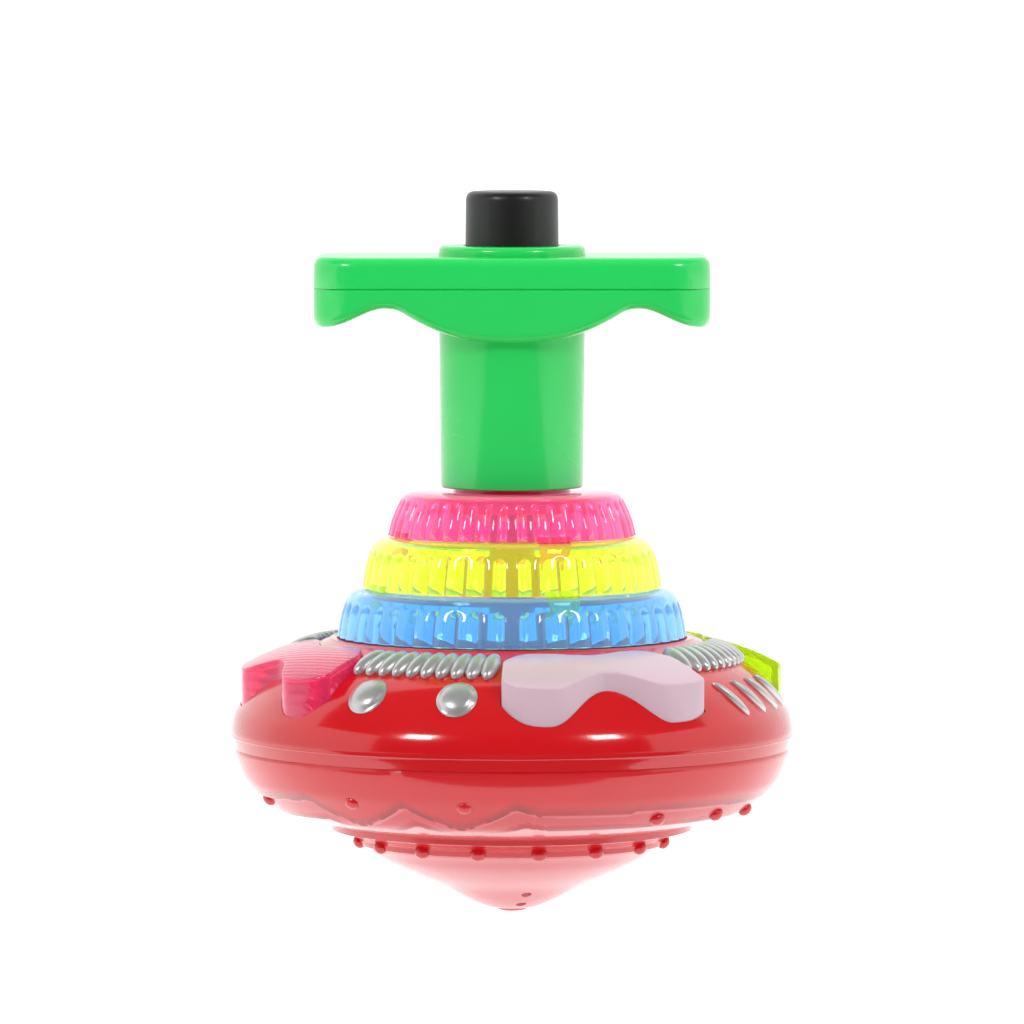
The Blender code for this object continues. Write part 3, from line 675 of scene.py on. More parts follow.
# ---- launcher ----------------------------------------------------------------------------
@dataclass
class Handle:
    """T handle in two halves with the barrel moulded on the lower one."""

    half_length: float = 33.95
    half_depth: float = 15.0
    plan_radius: float = 8.0
    edge: float = 1.7
    top: float = 113.3
    parting: float = 107.9
    gap: float = 0.06
    collar_radius: float = 12.6
    collar_top: float = 115.0
    hole_radius: float = 8.4
    hollow: Flat = (24.0, 12.9)
    screw_x: float = 27.8
    bore: float = 10.7
    barrel_foot: float = 73.4
    barrel_top: float = 101.0
    underside: Sequence[Flat] = (
        (-3.9, 98.9), (0.0, 98.75), (3.9, 98.9), (6.2, 99.15), (9.0, 99.55), (13.2, 101.0),
        (16.7, 102.7), (19.3, 104.2), (21.5, 104.6), (23.6, 104.3), (26.0, 103.3), (28.2, 102.3),
        (30.3, 101.6), (32.2, 101.35), (33.95, 101.35), (35.0, 101.35),
    )

    def stations(self) -> list[float]:
        """Places along X where the handle is sectioned."""
        half = [i * 0.75 for i in range(35)]
        half += [self.half_length - self.plan_radius * (1 - math.sin(math.radians(a)))
                 for a in range(6, 60, 6)]
        half += [self.half_length - self.edge * (1 - math.sin(math.radians(a)))
                 for a in range(0, 91, 9)]
        half = sorted(set(round(x, 4) for x in half if 0.0 <= x <= self.half_length))
        return [-x for x in reversed(half[1:])] + half

    def depth_at(self, x: float) -> float:
        """Half depth at x."""
        past = abs(x) - (self.half_length - self.plan_radius)
        if past <= 0.0:
            return self.half_depth
        bend = math.sqrt(max(self.plan_radius**2 - past**2, 0.0))
        return self.half_depth - self.plan_radius + bend

    def turn_in(self, x: float) -> float:
        """How far the end's rounding has drawn an edge in at x."""
        past = abs(x) - (self.half_length - self.edge)
        return 0.0 if past <= 0 else self.edge - math.sqrt(max(self.edge**2 - past**2, 0.0))

    def loft(self, name: str, upper: bool) -> bpy.types.Object:
        """Loft one half along X."""
        curve = smooth_run(self.underside, 6)
        sections = []
        for x in self.stations():
            y, draw = self.depth_at(x), self.turn_in(x)
            if upper:
                flat, near, way = self.parting + self.gap / 2, self.top - draw, -1.0
            else:
                flat, near, way = self.parting - self.gap / 2, read(curve, abs(x)) + draw, 1.0
            arc = [math.radians(a) for a in range(0, 91, 15)]
            edge = [(y - self.edge * (1 - math.cos(a)), self.edge * (1 - math.sin(a)))
                    for a in arc]
            ring = [(y - 0.22, flat), (y, flat - way * 0.22)]
            ring += [(s, near + way * d) for s, d in edge]
            ring += [(y - self.edge - 0.5, near)]
            full = ring + [(-s, z) for s, z in reversed(ring)]
            sections.append([(x, s, z) for s, z in full])
        width = len(sections[0])
        points = [p for section in sections for p in section]
        faces: Faces = [list(range(width)), list(range(len(points) - width, len(points)))]
        for index in range(len(sections) - 1):
            for side in range(width):
                after, low = (side + 1) % width, index * width
                faces.append([low + side, low + after, low + width + after, low + width + side])
        return shaped(name, points, faces)

    def block(self, x: float, y: float, low: float, high: float) -> bpy.types.Object:
        """A plain block to cut a hollow with."""
        grid = [[(-x, -y), (-x, y)], [(x, -y), (x, y)]]
        top = [[(a, b, high) for a, b in row] for row in grid]
        bottom = [[(a, b, low) for a, b in row] for row in grid]
        return walled(top, bottom, "block")

    def build(self) -> None:
        """Make both halves, the collar and the barrel."""
        cover = self.loft("handle_top_half", True)
        hole = shaped("tool", *lathe([(0, 105), (self.hole_radius, 105),
                                      (self.hole_radius, 120), (0, 120)], 96))
        carve(cover, [self.block(*self.hollow, 100.0, 111.3), hole])
        finish_piece(cover, Finish.GREEN, "launcher", ["handle_cover"])
        r, z = self.collar_radius, self.collar_top
        collar = shaped("handle_collar", *lathe(rounded([
            (self.hole_radius, 111.6, 0), (r, 111.6, 0), (r, z, 1.1), (self.hole_radius, z, 0.3),
        ], 6), 128))
        finish_piece(collar, Finish.GREEN, "launcher")

        lower = self.loft("handle_lower_half", False)
        bore = shaped("tool", *lathe([
            (0, 90), (self.bore, 90), (self.bore, 100.6), (11.9, 100.6), (11.9, 103.5),
            (12.6, 103.5), (12.6, 112), (0, 112),
        ], 96))
        tools = [self.block(*self.hollow, 106.3, 112.0), bore]
        for x in (-self.screw_x, self.screw_x):
            tools.append(shaped("tool", *lathe([(0, 95), (2.75, 95), (2.75, 105.0), (1.45, 105.0),
                                                (1.45, 112.0), (0, 112.0)], 40, (x, 0.0))))
        carve(lower, tools)
        finish_piece(lower, Finish.GREEN, "launcher", ["handle_housing"])
        barrel = shaped("handle_barrel", *lathe(rounded([
            (10.2, self.barrel_foot, 0.35), (12.2, self.barrel_foot, 0.4),
            (12.55, self.barrel_top, 0), (self.bore, self.barrel_top, 0),
            (self.bore, 83.7, 0), (10.2, 83.7, 0),
        ]), 128))
        finish_piece(barrel, Finish.GREEN, "launcher")


@dataclass
class PushButton:
    """Black thumb button."""

    radius: float = 8.05
    top: float = 124.3
    fillet: float = 1.6
    foot: float = 109.4
    flange: float = 9.6

    def build(self) -> None:
        """Make the button."""
        r, inside = self.radius, self.radius - 1.65
        body = shaped("button_cap", *lathe(rounded([
            (inside, self.foot, 0), (self.flange, self.foot, 0), (self.flange, 111.0, 0.2),
            (r, 111.0, 0), (r - 0.14, self.top, self.fillet), (0.0, self.top, 0),
            (0.0, self.top - 2.0, 0), (inside, self.top - 2.0, 0.4),
        ], 8), 96))
        finish_piece(body, Finish.BLACK, "button", ["push_button"])


@dataclass
class ReturnSpring:
    """Coil spring under the button, made at one length here, though the real spring shortens as
    the button goes down.
    """

    radius: float = 4.6
    wire: float = 0.42
    low: float = 105.9
    high: float = 121.7
    turns: int = 5
    keep: float = 0.75

    def build(self) -> None:
        """Make the coil."""
        around, along = 8, self.turns * 32
        points, faces = [], []
        for step in range(along + 1):
            turn = TAU * self.turns * step / along
            z = self.low + (self.high - self.low) * step / along
            for index in range(around):
                tilt = TAU * index / around
                r = self.radius + self.wire * math.cos(tilt)
                points.append((r * math.cos(turn), r * math.sin(turn),
                               z + self.wire * math.sin(tilt)))
        for step in range(along):
            for index in range(around):
                a, b = step * around + index, step * around + (index + 1) % around
                faces.append([a, b, b + around, a + around])
        faces += [list(range(around)), list(range(along * around, (along + 1) * around))]
        coil = shaped("return_coil", points, faces)
        finish_piece(coil, Finish.STEEL, "launcher", ["button_spring"], 50.0)
        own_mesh(coil)


# ---- light tiers -------------------------------------------------------------------------
@dataclass
class LightTier:
    """A clear ribbed cap of the stack."""

    color: str
    finish: Finish
    side: Sequence[Flat]
    hole: float
    flute_top: float
    tab: float = 0.0
    tab_finish: Finish = Finish.PINK_WINDOW
    wall: float = 1.2
    flutes: int = 46
    depth: float = 0.85
    tab_azimuth: float = 21.0

    def section(self) -> list[Flat]:
        """The cap's closed section, with its side as one smooth curve."""
        top = self.side[-1][1]
        outer = smooth_run(self.side, 6)
        inner = [(r - self.wall, z) for r, z in self.side[:2]]
        inner += [(self.side[3][0] - 1.9, top - self.wall)]
        return outer + [(self.hole, top), (self.hole, top - self.wall)] + list(reversed(inner))

    def build(self) -> None:
        """Make the cap, its flutes and its locking tabs."""
        cap = shaped("light_tier_" + self.color, *lathe(self.section(), self.flutes * 8))
        mark = cap.data.attributes.new("flute", "FLOAT", "POINT")
        outer = smooth_run(self.side, 6)
        heights = [(z, r) for r, z in outer]
        for item, vertex in zip(mark.data, cap.data.vertices):
            x, y, z = (c / MM for c in vertex.co)
            on_side = math.hypot(x, y) > read(heights, z) - 0.2
            fade = min(max((self.flute_top - z) / 0.9, 0.0), 1.0)
            item.value = fade if on_side and z < self.flute_top + 0.01 else 0.0
        flute_tree(SHELF.get(self.finish)).apply(cap, count=self.flutes,
                                                 depth=self.depth * MM)
        finish_piece(cap, self.finish, "top", ["tier_" + self.color], 28.0)
        if self.tab:
            self.build_tabs()

    def build_tabs(self) -> None:
        """Make the four rounded tabs that lock into the tier below."""
        foot, r = self.side[0][1], self.side[0][0] - 1.5
        for index in range(4):
            az = math.radians(self.tab_azimuth + 90.0 * index)
            outline = rounded([(-2.8, foot - self.tab, 1.8), (2.8, foot - self.tab, 1.8),
                               (2.8, foot + 0.8, 0), (-2.8, foot + 0.8, 0)], 6)
            points, faces = [], []
            for inset in (-0.55, 0.55):
                for x, z in outline:
                    out = r + inset
                    points.append((out * math.sin(az) + x * math.cos(az),
                                   -out * math.cos(az) + x * math.sin(az), z))
            count = len(outline)
            faces = [list(range(count)), list(range(count, 2 * count))]
            faces += [[i, (i + 1) % count, count + (i + 1) % count, count + i]
                      for i in range(count)]
            tab = shaped(f"tier_tab_{self.color}_{index + 1}", points, faces)
            finish_piece(tab, self.tab_finish, "top")


@dataclass
class DriveSocket:
    """Red hub whose neck shows between the barrel and the tiers."""

    skin: float = 10.02

    def build(self) -> None:
        """Dress the CAD hub and give its neck a smooth skin."""
        dress(["drive_socket"], Finish.RED)
        skin = shaped("neck_skin", *lathe([(9.84, 71.1), (self.skin, 71.1), (self.skin, 75.8),
                                           (9.84, 75.8)], 160))
        finish_piece(skin, Finish.RED, "top")


# ---- body of the top ---------------------------------------------------------------------
@dataclass
class Shoulder:
    """Red upper shell; its outside also carries the silver relief."""

    side: Sequence[Flat] = (
        (47.95, 28.78), (48.4, 31.0), (48.3, 32.6), (47.8, 34.5), (46.9, 36.2), (45.6, 38.2),
        (43.9, 40.3), (41.6, 42.3), (38.4, 44.3), (34.8, 46.1), (31.2, 47.5),
    )
    inside: Sequence[Flat] = (
        (30.6, 45.9), (37.4, 43.3), (42.2, 40.1), (45.2, 36.0), (46.7, 31.2), (46.3, 28.9),
    )
    curve: list[Flat] = field(default_factory=list)
    run: list[float] = field(default_factory=list)

    def __post_init__(self) -> None:
        """Work out the smooth outside and its arc length."""
        self.curve = smooth_run(self.side, 8)
        self.run = [0.0]
        for (r0, z0), (r1, z1) in zip(self.curve, self.curve[1:]):
            self.run.append(self.run[-1] + math.hypot(r1 - r0, z1 - z0))

    def at(self, s: float, lift: float) -> Flat:
        """Radius and height at arc s up from the lip, lifted off the surface."""
        radii = list(zip(self.run, [r for r, _ in self.curve]))
        heights = list(zip(self.run, [z for _, z in self.curve]))
        dr = read(radii, s + 0.6) - read(radii, s - 0.6)
        dz = read(heights, s + 0.6) - read(heights, s - 0.6)
        size = math.hypot(dr, dz)
        return read(radii, s) + lift * dz / size, read(heights, s) - lift * dr / size

    def point(self, az: float, s: float, lift: float) -> Point:
        """The same place in space, at an azimuth in degrees."""
        r, z = self.at(s, lift)
        turn = math.radians(az)
        return (r * math.sin(turn), -r * math.cos(turn), z)

    def build(self, windows: Sequence["LampWindow"]) -> None:
        """Make the shell with its lamp windows."""
        lip = [(46.9, 28.66), (47.75, 28.66)]
        flash = [(48.4, 30.8), (48.49, 30.87), (48.49, 30.96), (48.4, 31.03)]
        seat = [(30.9, 47.62), (30.75, 47.55), (30.7, 47.5)]
        outline = lip + [p for p in self.curve if p[1] < 30.75] + flash
        outline += [p for p in self.curve if p[1] > 31.08][:-1] + [(31.25, 47.6)] + seat
        outline += [(1.6, 47.5), (1.6, 45.9)] + smooth_run(self.inside, 4)
        shell = shaped("shoulder_shell", *lathe(outline, 192))
        tools = [window.cutter() for window in windows]
        for index in range(4):
            spot = (18.0 * math.cos(TAU * index / 4), 18.0 * math.sin(TAU * index / 4))
            tools.append(shaped("tool", *lathe([(0, 40), (5, 40), (5, 52), (0, 52)], 48, spot)))
        carve(shell, tools)
        finish_piece(shell, Finish.SHELL_RED, "top", ["upper_shell"])


@dataclass
class LampWindow:
    """Peanut-shaped lamp window on the shoulder, open below."""

    color: str
    finish: Finish
    azimuth: float
    round_end: float
    span: float = 24.3
    floor: float = 35.6
    wall: float = 1.4

    def reach(self, share: float, grow: float) -> Flat:
        """Back and front radius at a share (-1..1) of the span."""
        turn = abs(share) * self.span
        wave = math.cos(TAU * min(turn, 14.0) / 28.0)
        past = max(turn - 14.0, 0.0) / (self.span - 14.0)
        draw = (2.4 if share * self.round_end > 0.0 else 0.9) * past**3
        back = 34.2 + 0.8 * wave + 4.6 * past**3
        return back - grow, 44.6 - 2.2 * wave - draw + grow

    def grid(self, grow: float, drop: float, columns: int, rows: int) -> list[list[Point]]:
        """Points of the sloping top, spread by grow and lowered by drop."""
        made = []
        for i in range(columns):
            share = -1.0 + 2.0 * i / (columns - 1)
            back, front = self.reach(share, grow)
            span = self.span - (0.0 if share * self.round_end > 0.0 else 1.3)
            turn = math.radians(self.azimuth + share * (span + math.degrees(grow / 40.0)))
            line = []
            for j in range(rows):
                r = back + (front - back) * j / (rows - 1)
                past = r - 33.4
                line.append((r * math.sin(turn), -r * math.cos(turn),
                             47.4 - 0.142 * past - 0.0161 * past * past - drop))
            made.append(line)
        return made

    def cutter(self) -> bpy.types.Object:
        """Block that cuts this window's opening in the shell."""
        top = self.grid(0.12, -6.0, 61, 2)
        bottom = [[(x, y, self.floor - 0.3) for x, y, _ in row] for row in top]
        return walled(top, bottom, "tool")

    def build(self) -> None:
        """Make the window."""
        columns, rows = 61, 9
        outer = self.grid(0.0, 0.0, columns, rows)
        inner = self.grid(-self.wall, self.wall, columns, rows)
        size = columns * rows
        points = [p for grid in (outer, inner) for row in grid for p in row]
        faces: Faces = []
        for base in (0, size):
            for i in range(columns - 1):
                for j in range(rows - 1):
                    a = base + i * rows + j
                    faces.append([a, a + 1, a + rows + 1, a + rows])
        edge = rim(columns, rows)
        loops = []
        for base in (0, size):
            loops.append(list(range(len(points), len(points) + len(edge))))
            points += [(points[base + k][0], points[base + k][1], self.floor) for k in edge]
        for step in range(len(edge)):
            after = (step + 1) % len(edge)
            a, b = edge[step], edge[after]
            faces.append([a, b, loops[0][after], loops[0][step]])
            faces.append([size + a, size + b, loops[1][after], loops[1][step]])
            faces.append([loops[0][step], loops[0][after], loops[1][after], loops[1][step]])
        window = shaped("lamp_window_" + self.color, points, faces)
        soften(window, 0.35, 3, 50.0)
        finish_piece(window, self.finish, "top", ["lens_" + self.color])


@dataclass
class SilverRelief:
    """Silver rope bands, ovals and slanted dashes between the windows."""

    shoulder: Shoulder
    lobes: int = 10
    pitch: float = 3.9

    def rope(self, name: str, azimuth: float) -> None:
        """One rope band of overlapping turns."""
        seats = []
        for index in range(self.lobes):
            az = azimuth + (index - (self.lobes - 1) / 2) * self.pitch
            low = Vector(self.shoulder.point(az - 0.8, 18.4, 0.0))
            high = Vector(self.shoulder.point(az + 0.8, 24.6, 0.0))
            here = Vector(self.shoulder.point(az, 21.5, 0.25))
            out = here - Vector(self.shoulder.point(az, 21.5, -1.0))
            seats.append((tuple(here), out, high - low))
        band = beads(name.replace("silver_coil", "silver_rope"), seats, Finish.SILVER,
                     (1.5, 3.75, 1.5), 20)
        finish_piece(band, Finish.SILVER, "top", [name], 60.0)

    def patch(self, name: str, az: float, s: float, half: Flat, lean: float,
              rise: float, rimmed: bool) -> None:
        """One low dome that follows the shoulder.

        Args:
            name: The CAD node it stands for.
            az: Azimuth of its middle.
            s: Arc of its middle up the shoulder.
            half: Half width and half length.
            lean: Sideways shift of its lower end.
            rise: Height of the dome.
            rimmed: Whether a flat rim runs round the dome.
        """
        count = 21
        top, bottom = [], []
        for i in range(count):
            v = -1.0 + 2.0 * i / (count - 1)
            line, base = [], []
            for j in range(count):
                u = -1.0 + 2.0 * j / (count - 1)
                x, y = u * math.sqrt(1 - 0.5 * v * v), v * math.sqrt(1 - 0.5 * u * u)
                span = math.hypot(x, y)
                share = min(span / 0.84, 1.0) if rimmed else span
                dome = math.sqrt(max(1.0 - share * share, 0.0))
                edge = 0.28 if span < 0.99 else 0.12
                here = az + math.degrees((x * half[0] - y * lean) / 44.0)
                at = s + y * half[1]
                line.append(self.shoulder.point(here, at, edge + rise * dome))
                base.append(self.shoulder.point(here, at, 0.02))
            top.append(line)
            bottom.append(base)
        made = walled(top, bottom, name.replace("silver", "silver_paint"))
        finish_piece(made, Finish.SILVER, "top", [name], 50.0)

    def build(self) -> None:
        """Make every band, oval and dash."""
        for side, turn in (("front", 0.0), ("back", 180.0)):
            self.rope("silver_coil_" + side, -23.0 + turn)
            for index, offset in enumerate((-10.8, 10.8)):
                self.patch(f"silver_oval_{side}_{index + 1}", -23.0 + offset + turn, 13.3,
                           (3.5, 3.8), 0.0, 1.0, True)
            other = "right" if side == "front" else "left"
            self.rope("silver_coil_" + other, 67.0 + turn)
            for index in range(4):
                self.patch(f"silver_dash_{other}_{index + 1}", 55.8 + 7.8 * index + turn, 11.3,
                           (0.8, 3.6), 2.2, 0.6, False)


@dataclass
class Bowl:
    """Red lower shell with its tip, two scalloped steps, raised dots and sound holes."""

    outside: Sequence[Flat] = (
        (47.6, 28.64), (47.78, 28.5), (47.7, 28.1), (47.4, 27.2), (46.9, 26.0), (45.8, 24.1),
        (44.2, 22.0), (41.1, 18.5), (38.0, 17.1), (35.2, 16.1), (31.4, 14.9),
    )
    waist: Sequence[Flat] = (
        (31.2, 14.6), (30.6, 14.4), (29.6, 14.2), (27.7, 13.6), (26.9, 13.0), (26.75, 12.45),
        (26.6, 12.1), (26.2, 11.9),
    )
    cone: Sequence[Flat] = (
        (26.0, 11.75), (24.6, 10.9), (22.0, 9.2), (17.8, 7.1), (12.9, 5.0), (8.9, 2.9),
        (6.2, 1.6), (4.4, 0.95), (2.75, 0.8), (2.5, 0.45), (1.5, 0.12), (0.0, 0.0),
    )
    inside: Sequence[Flat] = (
        (0.0, 2.6), (8.0, 4.5), (15.0, 8.0), (15.0, 21.2), (16.4, 21.2), (16.4, 8.7),
        (21.3, 11.1), (25.4, 14.5), (27.2, 15.3), (27.2, 30.7), (28.4, 30.7), (28.4, 15.7),
        (34.7, 17.8), (39.8, 20.1), (42.9, 23.6), (45.6, 28.64),
    )
    upper_hem: Sequence[Flat] = (
        (-66.0, 8.0), (-49.0, 7.2), (-24.0, 7.2), (1.0, 7.2), (6.0, 8.8), (27.0, 9.0),
        (28.0, 8.4), (60.0, 8.6), (90.0, 8.4), (114.0, 8.0),
    )
    lower_hem: Sequence[Flat] = (
        (-66.0, 12.8), (-48.0, 12.0), (-22.5, 12.2), (3.0, 12.2), (9.0, 13.3), (28.0, 13.3),
        (52.0, 12.9), (114.0, 12.8),
    )
    upper_dips: Sequence[Flat] = ((-49.0, -24.0), (-24.0, 1.0))
    lower_dips: Sequence[Flat] = ((-48.0, -22.5), (-22.5, 3.0))
    upper_sag: float = 5.4
    lower_sag: float = 4.4
    least_band: float = 2.2
    lift: float = 0.65
    ledge: float = 0.6
    side_dots: Sequence[Flat] = ((-74.6, 9.5), (-36.5, 6.8), (-10.2, 6.8), (35.5, 11.0),
                                 (55.9, 11.4), (74.4, 12.0))
    rim_dots: int = 16
    rim_seat: Flat = (26.7, 12.5)
    sound_holes: Sequence[float] = (6.9, 11.0)
    sound_azimuth: float = 13.0

    def __post_init__(self) -> None:
        """Work out the smooth outside, its arc length and its outward directions."""
        self.curve = [Vector(p) for p in smooth_run(self.outside, 10)]
        self.run = [0.0]
        for before, after in zip(self.curve, self.curve[1:]):
            self.run.append(self.run[-1] + (after - before).length)

    def place(self, s: float, lift: float) -> Flat:
        """Radius and height at arc s below the lip, lifted off the surface."""
        radii = list(zip(self.run, [p.x for p in self.curve]))
        heights = list(zip(self.run, [p.y for p in self.curve]))
        here = Vector((read(radii, s), read(heights, s)))
        way = Vector((read(radii, s + 0.4) - read(radii, s - 0.4),
                      read(heights, s + 0.4) - read(heights, s - 0.4))).normalized()
        return here.x - way.y * lift, here.y + way.x * lift

    def hem(self, table: Sequence[Flat], az: float, dips: Sequence[Flat], depth: float) -> float:
        """Arc of a step's edge at an azimuth in degrees, with sagging scallops.

        Args:
            table: (azimuth, arc) along the straight parts.
            az: The azimuth, folded into half a turn.
            dips: (start, end) azimuths of the scallops.
            depth: How far a scallop sags.

        Returns:
            The arc below the lip.
        """
        base = read(table, az)
        for start, end in dips:
            if start < az < end:
                share = abs(2.0 * (az - start) / (end - start) - 1.0)
                base += depth * (1.0 - (share * share + 0.02) ** 0.62)
        return base

    def edges(self, turn: float) -> Flat:
        """Arcs of both steps' edges at an azimuth in radians."""
        az = (math.degrees(turn) + 66.0) % 180.0 - 66.0
        first = self.hem(self.upper_hem, az, self.upper_dips, self.upper_sag)
        second = self.hem(self.lower_hem, az, self.lower_dips, self.lower_sag)
        return first, max(second, first + self.least_band)

    def mark(self, shell: bpy.types.Object) -> None:
        """Paint shade into the colour above each step's edge (to 1), and a painted highlight on
        the ledge below it with a fainter painted sheen lower down (to -1).
        """
        band = shell.data.attributes.new("band", "FLOAT", "POINT")
        curve = np.array([(p.x, p.y) for p in self.curve])
        for item, vertex in zip(band.data, shell.data.vertices):
            x, y, z = (c / MM for c in vertex.co)
            away = np.hypot(curve[:, 0] - math.hypot(x, y), curve[:, 1] - z)
            near = int(away.argmin())
            if away[near] > 1.5:
                # Painted reflection: the cone below z 11.9 is painted pale.
                item.value = -0.6 if z < 11.9 else 0.0
                continue
            first, second = self.edges(math.atan2(x, -y))
            s = self.run[near]
            # Painted shade above each step's edge.
            shade = max(1.0 - abs(s - first) / 2.2 if s < first else 0.0,
                        1.0 - abs(s - second) / 1.4 if first < s < second else 0.0)
            # Painted highlight on each ledge, and a fainter painted sheen everywhere below the
            # upper edge.
            pale = 0.9 if 0.0 < s - first < 0.7 or 0.0 < s - second < 0.6 else 0.0
            painted_sheen = 0.3 if s > first else 0.0
            item.value = shade if shade > 0.0 and not pale else -max(pale, painted_sheen)

    def section(self, turn: float) -> list[Flat]:
        """The shell's closed section at an azimuth in radians."""
        first, second = self.edges(turn)
        end = self.run[-1]
        rows: list[Flat] = []
        for index in range(15):
            s = first * index / 14
            rows.append(self.place(s, self.lift * min(s / 5.5, 1.0) ** 1.5))
        for top, bottom, lift in ((first, second, 0.0), (second, end, -self.lift)):
            rows.append(self.place(top + 0.10, lift + 0.88 * self.lift))
            rows.append(self.place(top + 0.36, lift + 0.10 * self.lift))
            for index in range(9):
                s = top + self.ledge + (bottom - top - self.ledge) * index / 8
                rows.append(self.place(s, lift))
        rows += list(self.waist) + smooth_run(self.cone, 4)
        return rows + list(self.inside)

    def seat(self, az: float, s: float) -> tuple[Point, Vector, Vector]:
        """Place, outward direction and upward direction of a dot on the side."""
        turn = math.radians(az)
        spots = []
        base = self.lift * (0.6 if s < 7.0 else 0.0)
        for arc, lift in ((s, base), (s, base + 1.0), (s - 1.0, base)):
            r, z = self.place(arc, lift)
            spots.append(Vector((r * math.sin(turn), -r * math.cos(turn), z)))
        return tuple(spots[0]), spots[1] - spots[0], spots[2] - spots[0]

    def low_seat(self, az: float) -> tuple[Point, Vector, Vector]:
        """The same for a dot on the rim under the waist."""
        turn = math.radians(az)
        out = Vector((math.sin(turn), -math.cos(turn), 0.0))
        spot = out * self.rim_seat[0] + Vector((0.0, 0.0, self.rim_seat[1]))
        return tuple(spot), out * 0.8 - Vector((0.0, 0.0, 0.6)), Vector((0.0, 0.0, 1.0))

    def build(self) -> None:
        """Make the shell and its dots."""
        shell = shaped("bowl_shell", *lathe(self.section, 360))
        tools = []
        turn = math.radians(self.sound_azimuth)
        for r in self.sound_holes:
            tools.append(shaped("tool", *lathe([(0, -3), (0.85, -3), (0.85, 9), (0, 9)], 24,
                                               (r * math.sin(turn), -r * math.cos(turn)))))
        carve(shell, tools)
        # Paints shade and highlights into the shell's colour through its band attribute.
        self.mark(shell)
        finish_piece(shell, Finish.BOWL_RED, "top", ["lower_shell"], 30.0)
        seats = [self.seat(az + turn, s) for turn in (0.0, 180.0) for az, s in self.side_dots]
        side = beads("bowl_side_dots", seats, Finish.BOWL_RED, (1.45, 1.3, 1.0))
        finish_piece(side, Finish.BOWL_RED, "top", (), 60.0)
        seats = [self.low_seat(10.0 + 360.0 / self.rim_dots * index)
                 for index in range(self.rim_dots)]
        low = beads("bowl_rim_dots", seats, Finish.BOWL_RED, (1.4, 1.2, 1.0))
        finish_piece(low, Finish.BOWL_RED, "top", (), 60.0)


# ---- works inside ------------------------------------------------------------------------
def dress(nodes: Sequence[str], finish: Finish) -> None:
    """Give CAD nodes a finish."""
    for node in nodes:
        obj = bpy.data.objects[node]
        obj.data.materials.clear()
        obj.data.materials.append(SHELF.get(finish))
        LOG.info("%s dressed as %s", node, finish.name.lower())


@dataclass
class Works:
    """The CAD pieces inside the launcher and the top, dressed as they are."""

    steel: Sequence[str] = (
        "handle_screw_left", "handle_screw_right", "mainspring", "pawl_pin",
        "pawl_spring", "drive_shaft", "ratchet_wheel", "ejector_rod", "socket_screw",
        "switch_spring", "button_cell_1", "button_cell_2", "button_cell_3",
    )
    brass: Sequence[str] = ("pawl", "battery_contact", "sounder", "switch_post")
    white: Sequence[str] = ("bearing_plate", "spring_drum", "drum_lid")
    black: Sequence[str] = ("drive_head", "battery_tray")
    lamps: Sequence[str] = ("led_white", "led_pink", "led_blue", "led_yellow", "led_centre")

    def build(self) -> None:
        """Dress every inner piece."""
        dress(self.steel, Finish.STEEL)
        dress(self.brass, Finish.BRASS)
        dress(self.white, Finish.WHITE)
        dress(self.black, Finish.BLACK)
        dress(self.lamps, Finish.LAMP)
        dress(["circuit_board"], Finish.BOARD)


